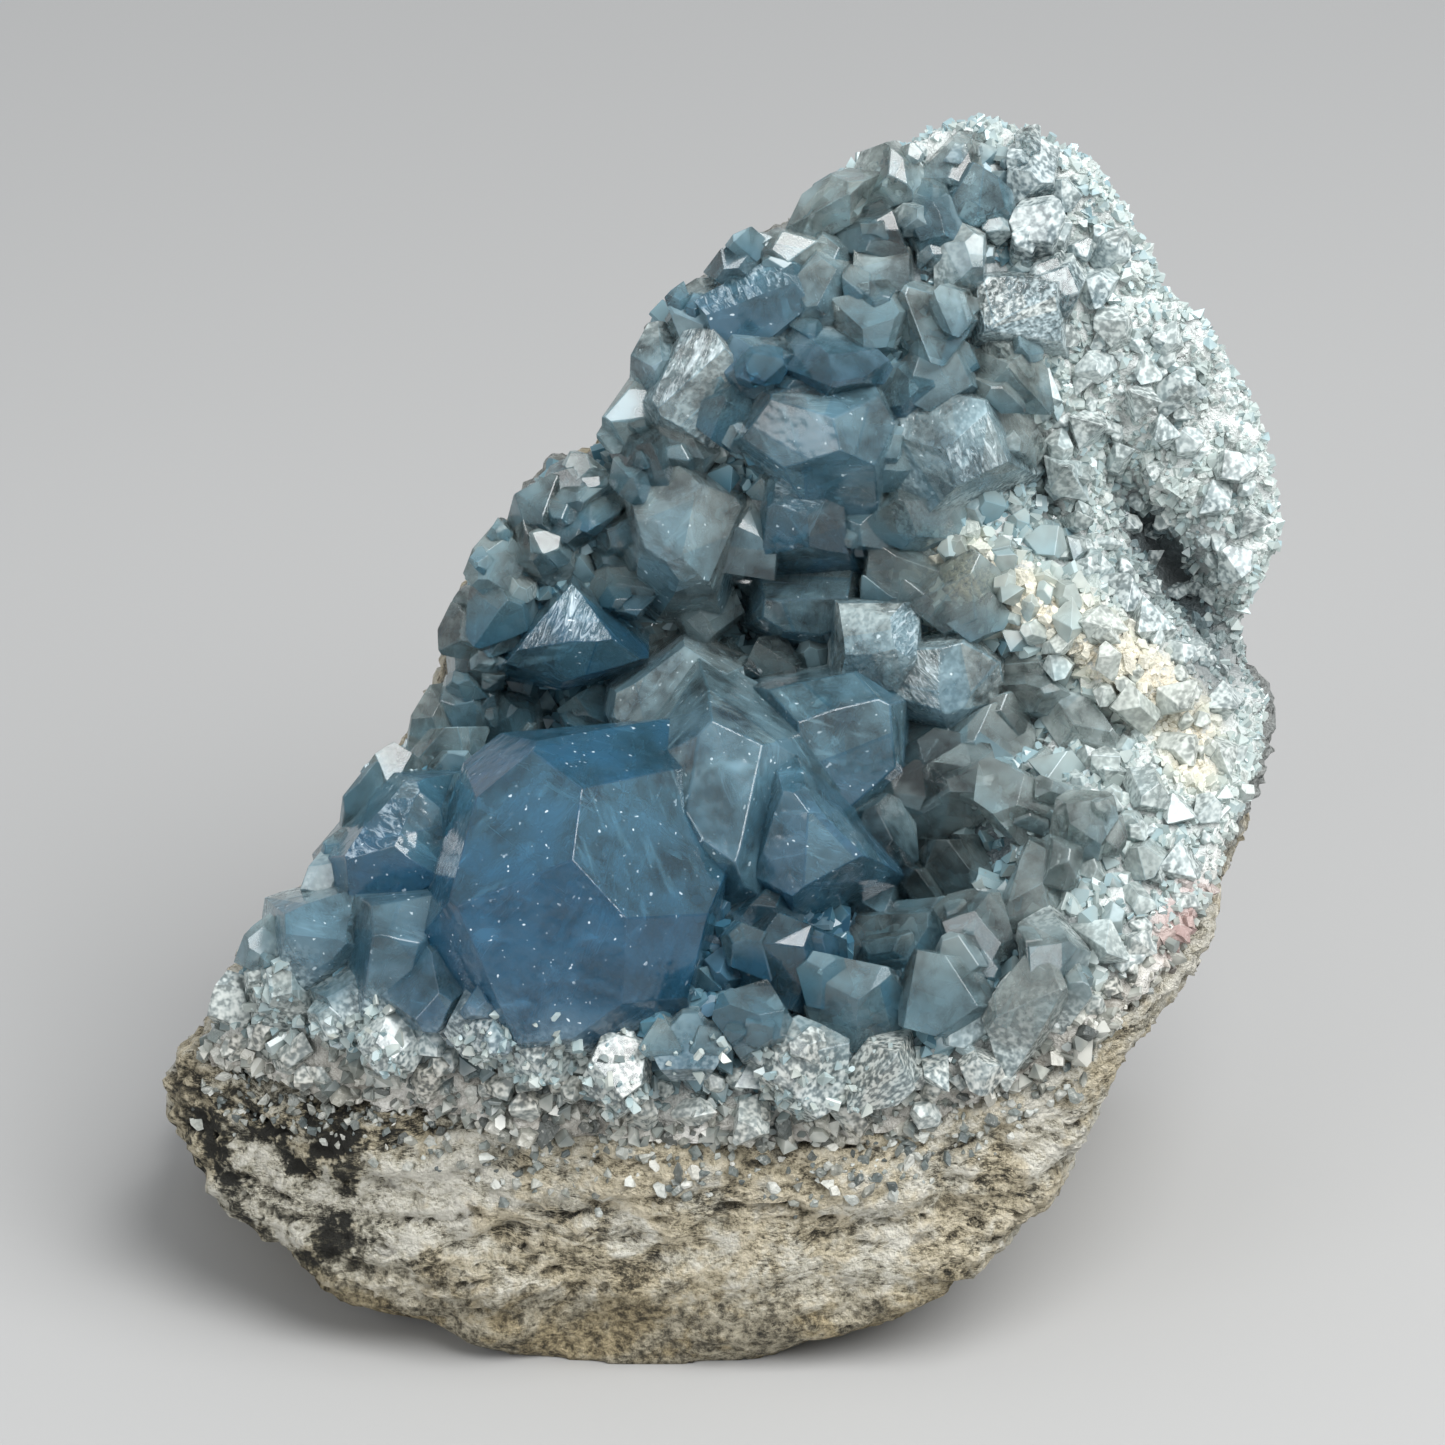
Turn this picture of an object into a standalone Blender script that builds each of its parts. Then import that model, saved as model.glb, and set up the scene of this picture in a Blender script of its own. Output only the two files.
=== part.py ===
"""A celestite crystal cluster: a broken piece of geode wall that stands on its own rough foot.

Pale layered host rock makes the foot, the back and the band along the front. A crust of blue
celestite grows on its hollow face: large blocky crystals in the middle, smaller ones to the rim.

The hollow face leans back. It is described in face coordinates, in millimetres: across to the
right, up along the leaning face, and out of it towards the open side. FACE turns them into metres
with +Z up, the foot on z = 0 and the origin under the middle of the specimen.
"""

import math
import random

import bmesh
import bpy
from mathutils import Matrix, Vector, noise
from mathutils.geometry import intersect_point_line

MM = 0.001
WELD = 0.0005  # distance in millimetres within which points are one

# The driving sizes, in millimetres
LEAN = 25.0  # degrees that the crystal face leans back from upright
WIDTH = 129.0  # of the broken piece, across
HEIGHT = 142.0  # along the leaning face
MIDDLE = (-0.3, -40.3)  # where the foot's lowest front edge lies, across and back
BACK_CENTRE = (-2.3, -1.3, 52.0)  # of the rounded outer side, in upright millimetres
BACK_RADII = (80.0, 47.0, 104.0)
SEAM_GAP = 0.3  # between the rock and the crust that grows on it
CRUST = 7.0  # thickness of the crystal crust away from the band of bare rock
ROCK_GRAIN = 2.4  # voxel size of the rough broken surface
ROCK_LUMPS = 1.5  # height of its lumps
ROCK_SHARE = 0.15  # share of the broken surface's faces that the rock keeps
CRUST_SHARE = 0.11  # share of them that the ground under the crystals keeps
RELIEF_STEP = 5.0  # spacing of the points that carry the relief of the face
SEAM_STEP = 8.0

FACE = (
    Matrix.Translation(Vector((MIDDLE[0], MIDDLE[1], 0.0)) * MM)
    @ Matrix.Rotation(math.radians(90.0 - LEAN), 4, "X")
    @ Matrix.Scale(MM, 4)
)

# The broken outline of the piece, across and up, clockwise from the left tip
OUTLINE = [
    (-65.5, 30.5), (-64.0, 34.0), (-59.5, 39.5), (-57.0, 44.5), (-53.0, 50.5), (-47.5, 55.5),
    (-45.0, 61.5), (-41.5, 67.5), (-37.0, 71.5), (-34.5, 76.5), (-32.5, 80.5), (-33.0, 85.0),
    (-29.5, 90.5), (-25.5, 97.5), (-21.5, 103.0), (-18.0, 105.5), (-15.0, 103.5), (-13.5, 107.5),
    (-10.0, 115.0), (-8.0, 120.5), (-2.5, 125.5), (8.0, 131.8), (10.5, 137.0), (17.0, 141.2),
    (27.5, 145.2), (34.5, 144.6), (43.5, 141.0), (48.6, 134.0), (52.2, 126.3), (58.6, 120.2),
    (63.8, 111.2), (66.4, 102.8), (66.9, 95.5), (64.2, 90.0), (61.8, 84.5), (64.8, 77.5),
    (64.0, 71.0), (60.5, 61.5), (56.8, 53.0), (51.8, 45.0), (45.8, 37.0), (42.8, 30.5),
    (39.5, 23.5), (34.0, 16.5), (27.0, 10.0), (17.5, 5.2), (6.0, 1.6), (-4.0, -0.4),
    (-12.0, -0.6), (-22.5, 1.0), (-31.5, 5.0), (-40.5, 7.2), (-47.0, 10.4), (-56.0, 17.5),
    (-62.5, 24.5),
]

# How far the middle of the face stands out, against up
PROFILE = [
    (-14.0, -9.0), (0.0, 0.0), (12.0, 8.0), (25.0, 12.5), (38.0, 14.0), (48.0, 10.5),
    (60.0, 2.0), (76.0, -11.0), (90.0, -11.5), (106.0, -6.5), (124.0, -4.0), (142.0, -5.0),
    (156.0, -9.0),
]

# Swells and hollows of the face: across, up, height, half length, half width, direction
SWELLS = {
    "left_fall": (-62.0, 30.0, -9.0, 22.0, 16.0, 60.0),
    "far_hollow": (-16.0, 77.0, -8.0, 20.0, 7.0, 18.0),
    "back_hollow": (7.0, 87.0, -7.0, 13.0, 6.0, 25.0),
    "side_hollow": (19.0, 55.0, -12.0, 14.0, 9.0, 70.0),
    "right_wall": (46.0, 60.0, 8.0, 26.0, 13.0, 75.0),
    "pale_ridge": (39.0, 86.0, 10.0, 21.0, 6.5, -32.0),
    "cleft": (52.5, 93.0, -10.0, 13.0, 3.8, -58.0),
    "crack": (37.5, 101.0, -4.0, 9.0, 2.2, -75.0),
    "right_lobe": (57.0, 106.0, -3.0, 12.0, 9.0, 80.0),
    "upper_bulge": (12.0, 112.0, 6.0, 20.0, 14.0, 40.0),
    "left_wall": (-24.0, 92.0, 5.0, 13.0, 7.0, 55.0),
    "seat": (-18.0, 52.0, 4.0, 24.0, 14.0, 10.0),
}

# Large crystals: across, up, rise of the centre above the crust, and the flat faces that bound
# each, as (direction in the face's plane, tilt away from straight out, distance from the centre)
GREAT_CRYSTALS = {
    "great_blue": (-18.0, 54.0, 3.5, [
        (122, 36, 13.5), (262, 14, 12.5), (32, 42, 13.0), (340, 40, 14.5), (75, 62, 16.0),
        (160, 78, 14.0), (210, 60, 15.0), (300, 60, 16.5), (345, 78, 17.0), (270, 78, 18.0),
        (95, 84, 18.5)]),
    "pale_slab": (-0.5, 66.0, 6.0, [
        (100, 12, 10.0), (135, 70, 9.0), (200, 65, 8.5), (228, 50, 11.0), (280, 62, 14.0),
        (350, 55, 9.5), (62, 75, 10.0)]),
    "upper_slab": (-5.0, 76.0, 5.5, [
        (108, 28, 7.5), (330, 22, 7.6), (125, 80, 6.5), (62, 75, 7.6), (10, 72, 8.0),
        (310, 76, 6.5), (220, 74, 8.0), (168, 78, 8.4)]),
    "right_slab": (12.5, 72.0, 6.0, [
        (330, 14, 7.0), (95, 52, 7.6), (100, 82, 7.7), (55, 78, 8.5), (2, 75, 8.3),
        (312, 70, 8.3), (258, 62, 9.0), (190, 62, 7.0)]),
    "front_wedge": (9.0, 60.5, 9.0, [
        (205, 26, 6.5), (335, 32, 6.5), (35, 75, 5.6), (165, 75, 5.5), (300, 70, 6.2),
        (236, 72, 7.0), (90, 60, 9.0), (270, 42, 8.6)]),
    "left_block": (-37.0, 60.0, 3.0, [
        (250, 22, 8.5), (118, 48, 6.4), (50, 38, 7.4), (140, 78, 5.4), (95, 80, 7.6),
        (190, 72, 8.0), (20, 75, 7.0), (290, 75, 7.5)]),
    "tip_left": (-45.5, 50.0, 2.5, [
        (250, 30, 5.0), (90, 38, 4.6), (105, 80, 4.4), (180, 75, 5.2), (10, 70, 5.0),
        (300, 70, 4.6)]),
    "tip_right": (-36.5, 49.5, 3.5, [
        (260, 25, 5.2), (70, 38, 4.8), (95, 80, 5.0), (0, 75, 4.8), (180, 70, 4.6),
        (320, 60, 5.4)]),
    "trillion": (-17.5, 83.5, 7.0, [
        (82, 20, 5.6), (275, 36, 4.8), (138, 78, 5.2), (45, 75, 5.6), (255, 78, 5.2),
        (285, 80, 4.6)]),
    "near_round": (18.0, 83.0, 6.0, [
        (120, 30, 5.2), (30, 50, 5.2), (250, 35, 5.4), (180, 75, 5.0), (90, 80, 5.3),
        (320, 70, 5.4), (0, 80, 5.0), (270, 80, 5.6)]),
    "striated": (25.5, 79.5, 4.0, [
        (200, 30, 5.6), (340, 28, 5.8), (100, 75, 5.0), (50, 75, 6.2), (0, 75, 7.3),
        (300, 70, 5.8), (245, 70, 5.4), (180, 75, 7.3)]),
    "upper_great": (11.5, 107.5, 4.5, [
        (200, 25, 6.2), (10, 35, 6.8), (90, 50, 5.8), (150, 75, 8.0), (102, 80, 5.9),
        (30, 78, 8.0), (340, 75, 7.8), (270, 60, 5.8), (230, 75, 7.0)]),
    "pale_green": (-4.5, 96.8, 5.0, [
        (150, 25, 5.8), (0, 35, 5.8), (100, 75, 7.6), (60, 75, 6.5), (190, 75, 6.0),
        (340, 75, 6.0), (270, 70, 7.6), (230, 70, 6.5)]),
    "dark_point": (9.5, 98.0, 4.0, [
        (100, 30, 4.6), (220, 35, 4.6), (340, 35, 4.6), (90, 80, 5.2), (180, 78, 5.0),
        (0, 78, 5.0), (270, 75, 4.6)]),
    "lower_step": (10.0, 89.0, 5.0, [
        (260, 30, 5.6), (100, 40, 4.8), (180, 75, 6.4), (0, 75, 6.4), (290, 75, 5.8),
        (240, 75, 5.8), (70, 75, 5.6), (120, 78, 5.6)]),
    "upper_right": (26.0, 106.5, 4.0, [
        (120, 25, 5.6), (330, 30, 5.8), (230, 40, 5.8), (170, 75, 7.0), (80, 80, 6.0),
        (20, 75, 6.4), (300, 75, 6.0)]),
    "white_tab": (34.0, 122.0, 3.0, [
        (110, 25, 4.0), (300, 40, 4.0), (90, 80, 3.9), (180, 75, 5.2), (0, 75, 5.2),
        (270, 75, 4.0)]),
    "edge_face": (-3.5, 114.0, 2.5, [
        (140, 36, 4.8), (300, 28, 5.6), (150, 82, 3.8), (100, 76, 6.0), (40, 74, 6.4),
        (340, 72, 6.4), (250, 72, 7.0), (205, 76, 6.4)]),
    "top_slab": (4.0, 122.5, 2.0, [
        (116, 45, 4.0), (290, 24, 4.6), (118, 84, 3.8), (30, 76, 7.0), (205, 76, 7.0),
        (300, 76, 5.0)]),
}

# Blocky crystals of celestite's own habit: across, up, half length
BLOCKY_CRYSTALS = [
    (17.0, 130.0, 4.4), (23.5, 132.0, 4.4), (30.5, 134.0, 5.0), (36.5, 130.5, 4.4),
    (27.5, 127.0, 4.8), (19.0, 125.5, 4.8), (38.5, 124.5, 4.6), (11.5, 124.5, 5.0),
    (16.5, 120.0, 5.6), (11.0, 116.0, 6.2), (24.5, 120.5, 6.0), (25.0, 113.5, 5.6),
    (32.5, 114.5, 5.6), (4.5, 115.5, 5.2), (1.0, 109.5, 5.0), (-4.5, 106.5, 4.8),
    (-9.0, 105.5, 4.6), (18.5, 112.0, 4.6), (19.0, 105.0, 5.0), (33.0, 107.5, 5.0),
    (-16.0, 98.5, 4.8), (-20.5, 94.0, 4.8), (-12.5, 97.0, 4.4), (-25.5, 87.5, 5.2),
    (-10.0, 91.0, 5.0), (-2.0, 87.5, 5.6), (3.0, 96.5, 5.4), (17.0, 97.5, 4.8),
    (22.5, 98.0, 5.8), (20.5, 91.0, 6.2), (27.5, 89.0, 5.4), (-29.5, 76.5, 5.2),
    (-33.0, 70.0, 4.6), (-24.5, 72.5, 5.0), (-14.0, 75.0, 5.4), (-9.5, 82.0, 4.0),
    (5.5, 80.5, 4.4), (16.5, 77.0, 4.6), (24.5, 71.5, 5.0), (25.0, 65.0, 6.6),
    (31.5, 71.5, 5.4), (34.5, 78.0, 5.2), (41.0, 74.0, 4.4), (35.0, 64.5, 5.4),
    (17.0, 61.5, 6.2), (19.0, 54.0, 6.0), (27.0, 57.0, 6.0), (21.0, 48.5, 6.6),
    (29.0, 50.5, 5.4), (35.5, 55.0, 5.2), (37.5, 48.5, 5.0), (26.5, 43.0, 6.6),
    (34.0, 41.5, 5.0), (14.5, 42.0, 6.8), (7.5, 47.0, 7.0), (3.5, 40.5, 6.0),
    (9.5, 35.0, 6.0), (18.5, 35.0, 5.4), (-3.5, 38.0, 5.2), (-33.0, 44.5, 5.8),
    (-26.5, 40.5, 5.4), (-42.5, 42.5, 5.0), (-50.0, 43.0, 4.8), (-37.5, 38.5, 4.6),
    (-20.0, 37.0, 4.6), (-12.0, 35.5, 5.2), (-26.5, 64.5, 5.2), (41.0, 62.0, 4.8),
]

SCATTERED = 84  # small crystals strewn over the rest of the crust
SCATTER_SEED = 11
SMALL_HALF = (2.0, 3.4)  # half length of the strewn crystals
SMALL_MARGIN = 4.8  # from the edge of the outline to the nearest of them
UNION_SHARE = 0.80  # share of its faces that the joined crust keeps once slivers are merged

# Unit-cell edges of celestite, whose ratios set the angles between its crystal faces
CELL = (8.36, 5.35, 6.87)
# Each form: Miller indices, and distance from the centre as a share of the half length
PRISM = ((0, 1, 1), 0.62)
TABLET = ((0, 0, 1), 0.60)
CHISEL = ((1, 0, 1), 0.80)
WEDGE = ((2, 1, 0), 0.84)
HABITS = [(PRISM, TABLET, CHISEL), (PRISM, TABLET, WEDGE), (PRISM, CHISEL, WEDGE)]
SMALL_HABITS = [(PRISM, CHISEL), (PRISM, TABLET, WEDGE)]


def smooth_between(points, at):
    """Height of the curve through points at a place, eased from each point to the next."""
    if at <= points[0][0]:
        return points[0][1]
    for (low, first), (high, second) in zip(points, points[1:]):
        if at <= high:
            share = (at - low) / (high - low)
            share = share * share * (3.0 - 2.0 * share)
            return first + (second - first) * share
    return points[-1][1]


def swell(across, up, shape):
    """Height that one swell adds at a place of the face."""
    centre_across, centre_up, height, half_length, half_width, direction = shape
    turn = math.radians(direction)
    east, north = across - centre_across, up - centre_up
    along = (east * math.cos(turn) + north * math.sin(turn)) / half_length
    beside = (north * math.cos(turn) - east * math.sin(turn)) / half_width
    return height * math.exp(-along * along - beside * beside)


def face_height(across, up):
    """How far the crust's surface stands out of the leaning plane."""
    fall = 9.0 * (across / (0.5 * WIDTH)) ** 2
    return smooth_between(PROFILE, up) - fall + sum(swell(across, up, s) for s in SWELLS.values())


def rock_line(across):
    """Height up the face of the line where the bare rock ends and the crust begins."""
    curve = 0.0105 if across > 8.0 else 0.0019
    return 25.2 + curve * (across - 8.0) ** 2


def crust_depth(across, up):
    """Thickness of the crust, below nought where the rock is bare."""
    over = (up - rock_line(across)) * 0.8
    return max(-9.0, min(CRUST, over))


def seam_height(across, up):
    """How far the seam between rock and crust stands out of the leaning plane."""
    return face_height(across, up) - crust_depth(across, up)


def collection(name, hidden=False):
    made = bpy.data.collections.new(name)
    bpy.context.scene.collection.children.link(made)
    made.hide_render = hidden
    return made


def add_mesh(name, bm, into, matrix=FACE):
    """Makes an object of a bmesh that is in face coordinates, or in those of another matrix."""
    bmesh.ops.transform(bm, matrix=matrix, verts=bm.verts)
    mesh = bpy.data.meshes.new(name)
    bm.to_mesh(mesh)
    bm.free()
    made = bpy.data.objects.new(name, mesh)
    into.objects.link(made)
    if into.hide_render:
        made.hide_render = True
        made.display_type = "WIRE"
    return made


def apply_modifiers(obj):
    """Replaces an object's mesh with the one that its modifiers make."""
    bpy.context.view_layer.update()
    graph = bpy.context.evaluated_depsgraph_get()
    mesh = bpy.data.meshes.new_from_object(obj.evaluated_get(graph))
    obj.modifiers.clear()
    obj.data = mesh
    return obj


def combine(obj, other, operation):
    """Applies a Boolean with one object, or with all the objects of a collection."""
    cut = obj.modifiers.new("combine", "BOOLEAN")
    cut.operation = operation
    cut.solver = "EXACT"
    if isinstance(other, bpy.types.Collection):
        cut.operand_type = "COLLECTION"
        cut.collection = other
    else:
        cut.object = other
    return apply_modifiers(obj)


def duplicate(obj, name, into):
    made = obj.copy()
    made.data = obj.data.copy()
    made.name = name
    into.objects.link(made)
    return made


def keep_largest(obj):
    """Removes every shell but the one with the most faces."""
    bm = bmesh.new()
    bm.from_mesh(obj.data)
    bmesh.ops.remove_doubles(bm, verts=bm.verts, dist=WELD * MM)
    unseen = set(bm.faces)
    shells = []
    while unseen:
        shell, edge_of = set(), [unseen.pop()]
        while edge_of:
            face = edge_of.pop()
            shell.add(face)
            for edge in face.edges:
                for beside in edge.link_faces:
                    if beside in unseen:
                        unseen.remove(beside)
                        edge_of.append(beside)
        shells.append(shell)
    shells.sort(key=len)
    loose = [face for shell in shells[:-1] for face in shell]
    bmesh.ops.delete(bm, geom=loose, context="FACES")
    bmesh.ops.triangulate(bm, faces=bm.faces)
    bm.to_mesh(obj.data)
    bm.free()
    return obj


def relief_block(name, height, step, into, lift=0.0):
    """A block whose front has the given relief and whose back is flat, far behind."""
    span_across, span_up, depth = 170.0, 190.0, 120.0
    bm = bmesh.new()
    bmesh.ops.create_grid(
        bm,
        x_segments=round(span_across / step),
        y_segments=round(span_up / step),
        size=0.5,
    )
    for vert in bm.verts:
        across = vert.co.x * span_across
        up = vert.co.y * span_up + 0.5 * HEIGHT
        vert.co = (across, up, height(across, up) + lift)
    bmesh.ops.triangulate(bm, faces=bm.faces)
    front = bm.faces[:]
    back = bmesh.ops.extrude_face_region(bm, geom=front, use_keep_orig=True)["geom"]
    for vert in back:
        if isinstance(vert, bmesh.types.BMVert):
            vert.co.z = -depth
    bmesh.ops.recalc_face_normals(bm, faces=bm.faces)
    return add_mesh(name, bm, into)


def outline_prism(into):
    """The broken outline, run straight through along the way out of the face."""
    curve = bpy.data.curves.new("outline", "CURVE")
    curve.dimensions = "2D"
    curve.fill_mode = "BOTH"
    curve.extrude = 150.0
    spline = curve.splines.new("POLY")
    spline.points.add(len(OUTLINE) - 1)
    for point, (across, up) in zip(spline.points, OUTLINE):
        point.co = (across, up, 0.0, 1.0)
    spline.use_cyclic_u = True
    drawn = bpy.data.objects.new("outline", curve)
    into.objects.link(drawn)
    bpy.context.view_layer.update()
    graph = bpy.context.evaluated_depsgraph_get()
    bm = bmesh.new()
    bm.from_mesh(bpy.data.meshes.new_from_object(drawn.evaluated_get(graph)))
    bpy.data.objects.remove(drawn)
    bmesh.ops.remove_doubles(bm, verts=bm.verts, dist=0.001)
    bmesh.ops.recalc_face_normals(bm, faces=bm.faces)
    return add_mesh("outline_prism", bm, into)


def back_form(into):
    """The rounded outer side of the geode wall, with a few broken flats."""
    bm = bmesh.new()
    bmesh.ops.create_icosphere(bm, subdivisions=4, radius=1.0)
    flats = [
        (Vector((-0.75, 0.6, -0.25)), 0.86),
        (Vector((0.7, 0.7, 0.1)), 0.88),
        (Vector((0.1, 0.75, 0.65)), 0.90),
        (Vector((-0.25, 0.8, -0.55)), 0.90),
    ]
    for normal, distance in flats:
        normal = normal.normalized()
        for vert in bm.verts:
            over = vert.co.dot(normal) - distance
            if over > 0.0:
                vert.co -= normal * over
    matrix = Matrix.Translation(Vector(BACK_CENTRE) * MM) @ Matrix.Diagonal(
        [radius * MM for radius in BACK_RADII] + [1.0]
    )
    return add_mesh("back_form", bm, into, matrix)


def ground(into):
    """All that lies below the foot."""
    bm = bmesh.new()
    bmesh.ops.create_cube(bm, size=0.4)
    return add_mesh("ground", bm, into, Matrix.Translation((0.0, 0.0, -0.2)))


def roughen(obj, height, size):
    """Moves each point along its normal by a few sizes of lump, and by the layers of the rock."""
    mesh = obj.data
    normals = [Vector(normal.vector) for normal in mesh.vertex_normals]
    for vert, normal in zip(mesh.vertices, normals):
        place = vert.co / (size * MM)
        lumps = noise.fractal(place, 0.8, 2.1, 4)
        layers = noise.noise(Vector((place.x * 0.35, place.y * 0.35, place.z * 2.6)))
        vert.co += normal * (lumps + 0.45 * layers) * height * MM


def broken_body(forms):
    """Rock and crust together, as one rough piece."""
    body = relief_block("body", face_height, RELIEF_STEP, forms)
    combine(body, outline_prism(forms), "INTERSECT")
    combine(body, back_form(forms), "INTERSECT")
    skin = body.modifiers.new("skin", "REMESH")
    skin.mode = "VOXEL"
    skin.voxel_size = ROCK_GRAIN * MM
    apply_modifiers(body)
    roughen(body, ROCK_LUMPS, 13.0)
    return body


def thinned(obj, share):
    """Keeps a share of an object's faces."""
    fewer = obj.modifiers.new("fewer", "DECIMATE")
    fewer.ratio = share
    return apply_modifiers(obj)


def faceted(facets, reach):
    """A cube cut back by planes, each a unit normal and its distance from the centre."""
    bm = bmesh.new()
    bmesh.ops.create_cube(bm, size=2.0 * reach)
    for normal, distance in facets:
        geometry = bm.verts[:] + bm.edges[:] + bm.faces[:]
        cut = bmesh.ops.bisect_plane(
            bm, geom=geometry, plane_co=normal * distance, plane_no=normal, clear_outer=True
        )
        rim = [item for item in cut["geom_cut"] if isinstance(item, bmesh.types.BMEdge)]
        if rim:
            bmesh.ops.edgeloop_fill(bm, edges=rim)
    bmesh.ops.remove_doubles(bm, verts=bm.verts, dist=0.02)
    bmesh.ops.recalc_face_normals(bm, faces=bm.faces)
    return bm


def direction(turn, tilt):
    """A unit vector tilted away from straight out, towards a direction in the face's plane."""
    turn, tilt = math.radians(turn), math.radians(tilt)
    return Vector(
        (math.sin(tilt) * math.cos(turn), math.sin(tilt) * math.sin(turn), math.cos(tilt))
    )


def great_crystal(name, shape, into):
    """A large crystal bounded by the faces that are listed for it."""
    across, up, rise, sides = shape
    root = Vector((0.0, 0.0, -1.0))
    facets = [(direction(turn, tilt), distance) for turn, tilt, distance in sides]
    reach = 1.6 * max(distance for _, _, distance in sides)
    bm = faceted(facets + [(root, CRUST + rise - 1.0)], reach)
    centre = Vector((across, up, face_height(across, up) + rise))
    bmesh.ops.translate(bm, vec=centre, verts=bm.verts)
    return add_mesh(name, bm, into)


def habit_normals(indices):
    """All the face normals of one crystal form, from its Miller indices and the cell."""
    signs = [(1, -1) if index else (1,) for index in indices]
    found = []
    for first in signs[0]:
        for second in signs[1]:
            for third in signs[2]:
                indexed = zip(indices, (first, second, third), CELL)
                found.append(Vector([i * sign / edge for i, sign, edge in indexed]).normalized())
    return found


def blocky_crystal(name, across, up, half, habits, dice, into):
    """A crystal of one of the habits, turned at random, its root in the crust."""
    facets = []
    for indices, share in dice.choice(habits):
        for normal in habit_normals(indices):
            facets.append((normal, half * share * dice.uniform(0.84, 1.14)))
    bm = faceted(facets, 1.3 * half)
    long_axis = direction(dice.uniform(0.0, 360.0), dice.uniform(10.0, 65.0))
    across_axis = long_axis.orthogonal().normalized()
    frame = Matrix((long_axis, across_axis, long_axis.cross(across_axis))).transposed().to_4x4()
    spun = Matrix.Rotation(math.radians(dice.uniform(0.0, 180.0)), 4, long_axis) @ frame
    place = Vector((across, up, face_height(across, up) + dice.uniform(0.15, 0.5) * half))
    bmesh.ops.transform(bm, matrix=Matrix.Translation(place) @ spun, verts=bm.verts)
    return add_mesh(name, bm, into)


def inside_outline(across, up, margin):
    """True where a place is inside the outline, and at least margin from its edges."""
    inside = False
    here = Vector((across, up))
    for start, end in zip(OUTLINE, OUTLINE[1:] + OUTLINE[:1]):
        if (start[1] > up) != (end[1] > up):
            if across < start[0] + (up - start[1]) * (end[0] - start[0]) / (end[1] - start[1]):
                inside = not inside
        nearest, share = intersect_point_line(here, Vector(start), Vector(end))
        nearest = Vector(start) if share < 0.0 else Vector(end) if share > 1.0 else nearest
        if (here - nearest).length < margin:
            return False
    return inside


def strewn_crystals(into):
    """Small crystals between and around the large ones."""
    dice = random.Random(SCATTER_SEED)
    placed = [(s[0], s[1], 0.8 * max(d for _, _, d in s[3])) for s in GREAT_CRYSTALS.values()]
    placed += [(across, up, 0.75 * half) for across, up, half in BLOCKY_CRYSTALS]
    made = 0
    while made < SCATTERED:
        across = dice.uniform(-0.5, 0.5) * WIDTH
        up = dice.uniform(0.2, 1.0) * HEIGHT
        half = dice.uniform(*SMALL_HALF)
        if not inside_outline(across, up, SMALL_MARGIN) or up < rock_line(across) + 4.0:
            continue
        if swell(across, up, SWELLS["cleft"]) + swell(across, up, SWELLS["crack"]) < -1.5:
            continue
        if any(math.hypot(across - a, up - u) < r + 0.45 * half for a, u, r in placed):
            continue
        placed.append((across, up, 0.9 * half))
        made += 1
        blocky_crystal(f"small_{made}", across, up, half, SMALL_HABITS, dice, into)


def crystals(into):
    for name, shape in GREAT_CRYSTALS.items():
        great_crystal(name, shape, into)
    dice = random.Random(SCATTER_SEED + 1)
    for number, (across, up, half) in enumerate(BLOCKY_CRYSTALS, 1):
        blocky_crystal(f"blocky_{number}", across, up, half, HABITS, dice, into)
    strewn_crystals(into)


def paint(obj, name, colour, roughness):
    material = bpy.data.materials.new(name)
    material.use_nodes = True
    shader = material.node_tree.nodes["Principled BSDF"]
    shader.inputs["Base Color"].default_value = (*colour, 1.0)
    shader.inputs["Roughness"].default_value = roughness
    shader.inputs["Metallic"].default_value = 0.0
    obj.data.materials.clear()
    obj.data.materials.append(material)
    return shader


def main():
    for obj in list(bpy.data.objects):
        bpy.data.objects.remove(obj)
    specimen = collection("celestite_cluster")
    forms = collection("forms", hidden=True)
    grown = collection("crystal_forms", hidden=True)

    body = broken_body(forms)
    rock = thinned(duplicate(body, "host_rock", specimen), ROCK_SHARE)
    crust = thinned(duplicate(body, "celestite_crystals", specimen), CRUST_SHARE)
    for obj in (rock, crust):
        obj.hide_render = False
        obj.display_type = "TEXTURED"

    behind = relief_block("behind_seam", seam_height, SEAM_STEP, forms)
    behind_gap = relief_block("behind_gap", seam_height, SEAM_STEP, forms, lift=SEAM_GAP)
    combine(rock, behind, "INTERSECT")
    combine(rock, ground(forms), "DIFFERENCE")
    keep_largest(rock)

    crystals(grown)
    combine(crust, grown, "UNION")
    keep_largest(crust)
    thinned(crust, UNION_SHARE)
    combine(crust, behind_gap, "DIFFERENCE")
    keep_largest(crust)

    paint(rock, "host_rock", (0.62, 0.59, 0.53), 0.95)
    shader = paint(crust, "celestite", (0.42, 0.56, 0.68), 0.18)
    shader.inputs["IOR"].default_value = 1.62
    shader.inputs["Transmission Weight"].default_value = 0.6


main()
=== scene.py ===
"""The looks of a celestite crystal cluster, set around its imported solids.

Blue blocky crystals grow on the hollow face of a broken piece of geode wall. Face coordinates are
in millimetres: across to the right, up along the leaning face, and out of it to the open side.
"""

import math
import random

import bmesh
import bpy
from mathutils import Matrix, Vector, noise
from mathutils.bvhtree import BVHTree
from mathutils.geometry import intersect_point_line


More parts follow.
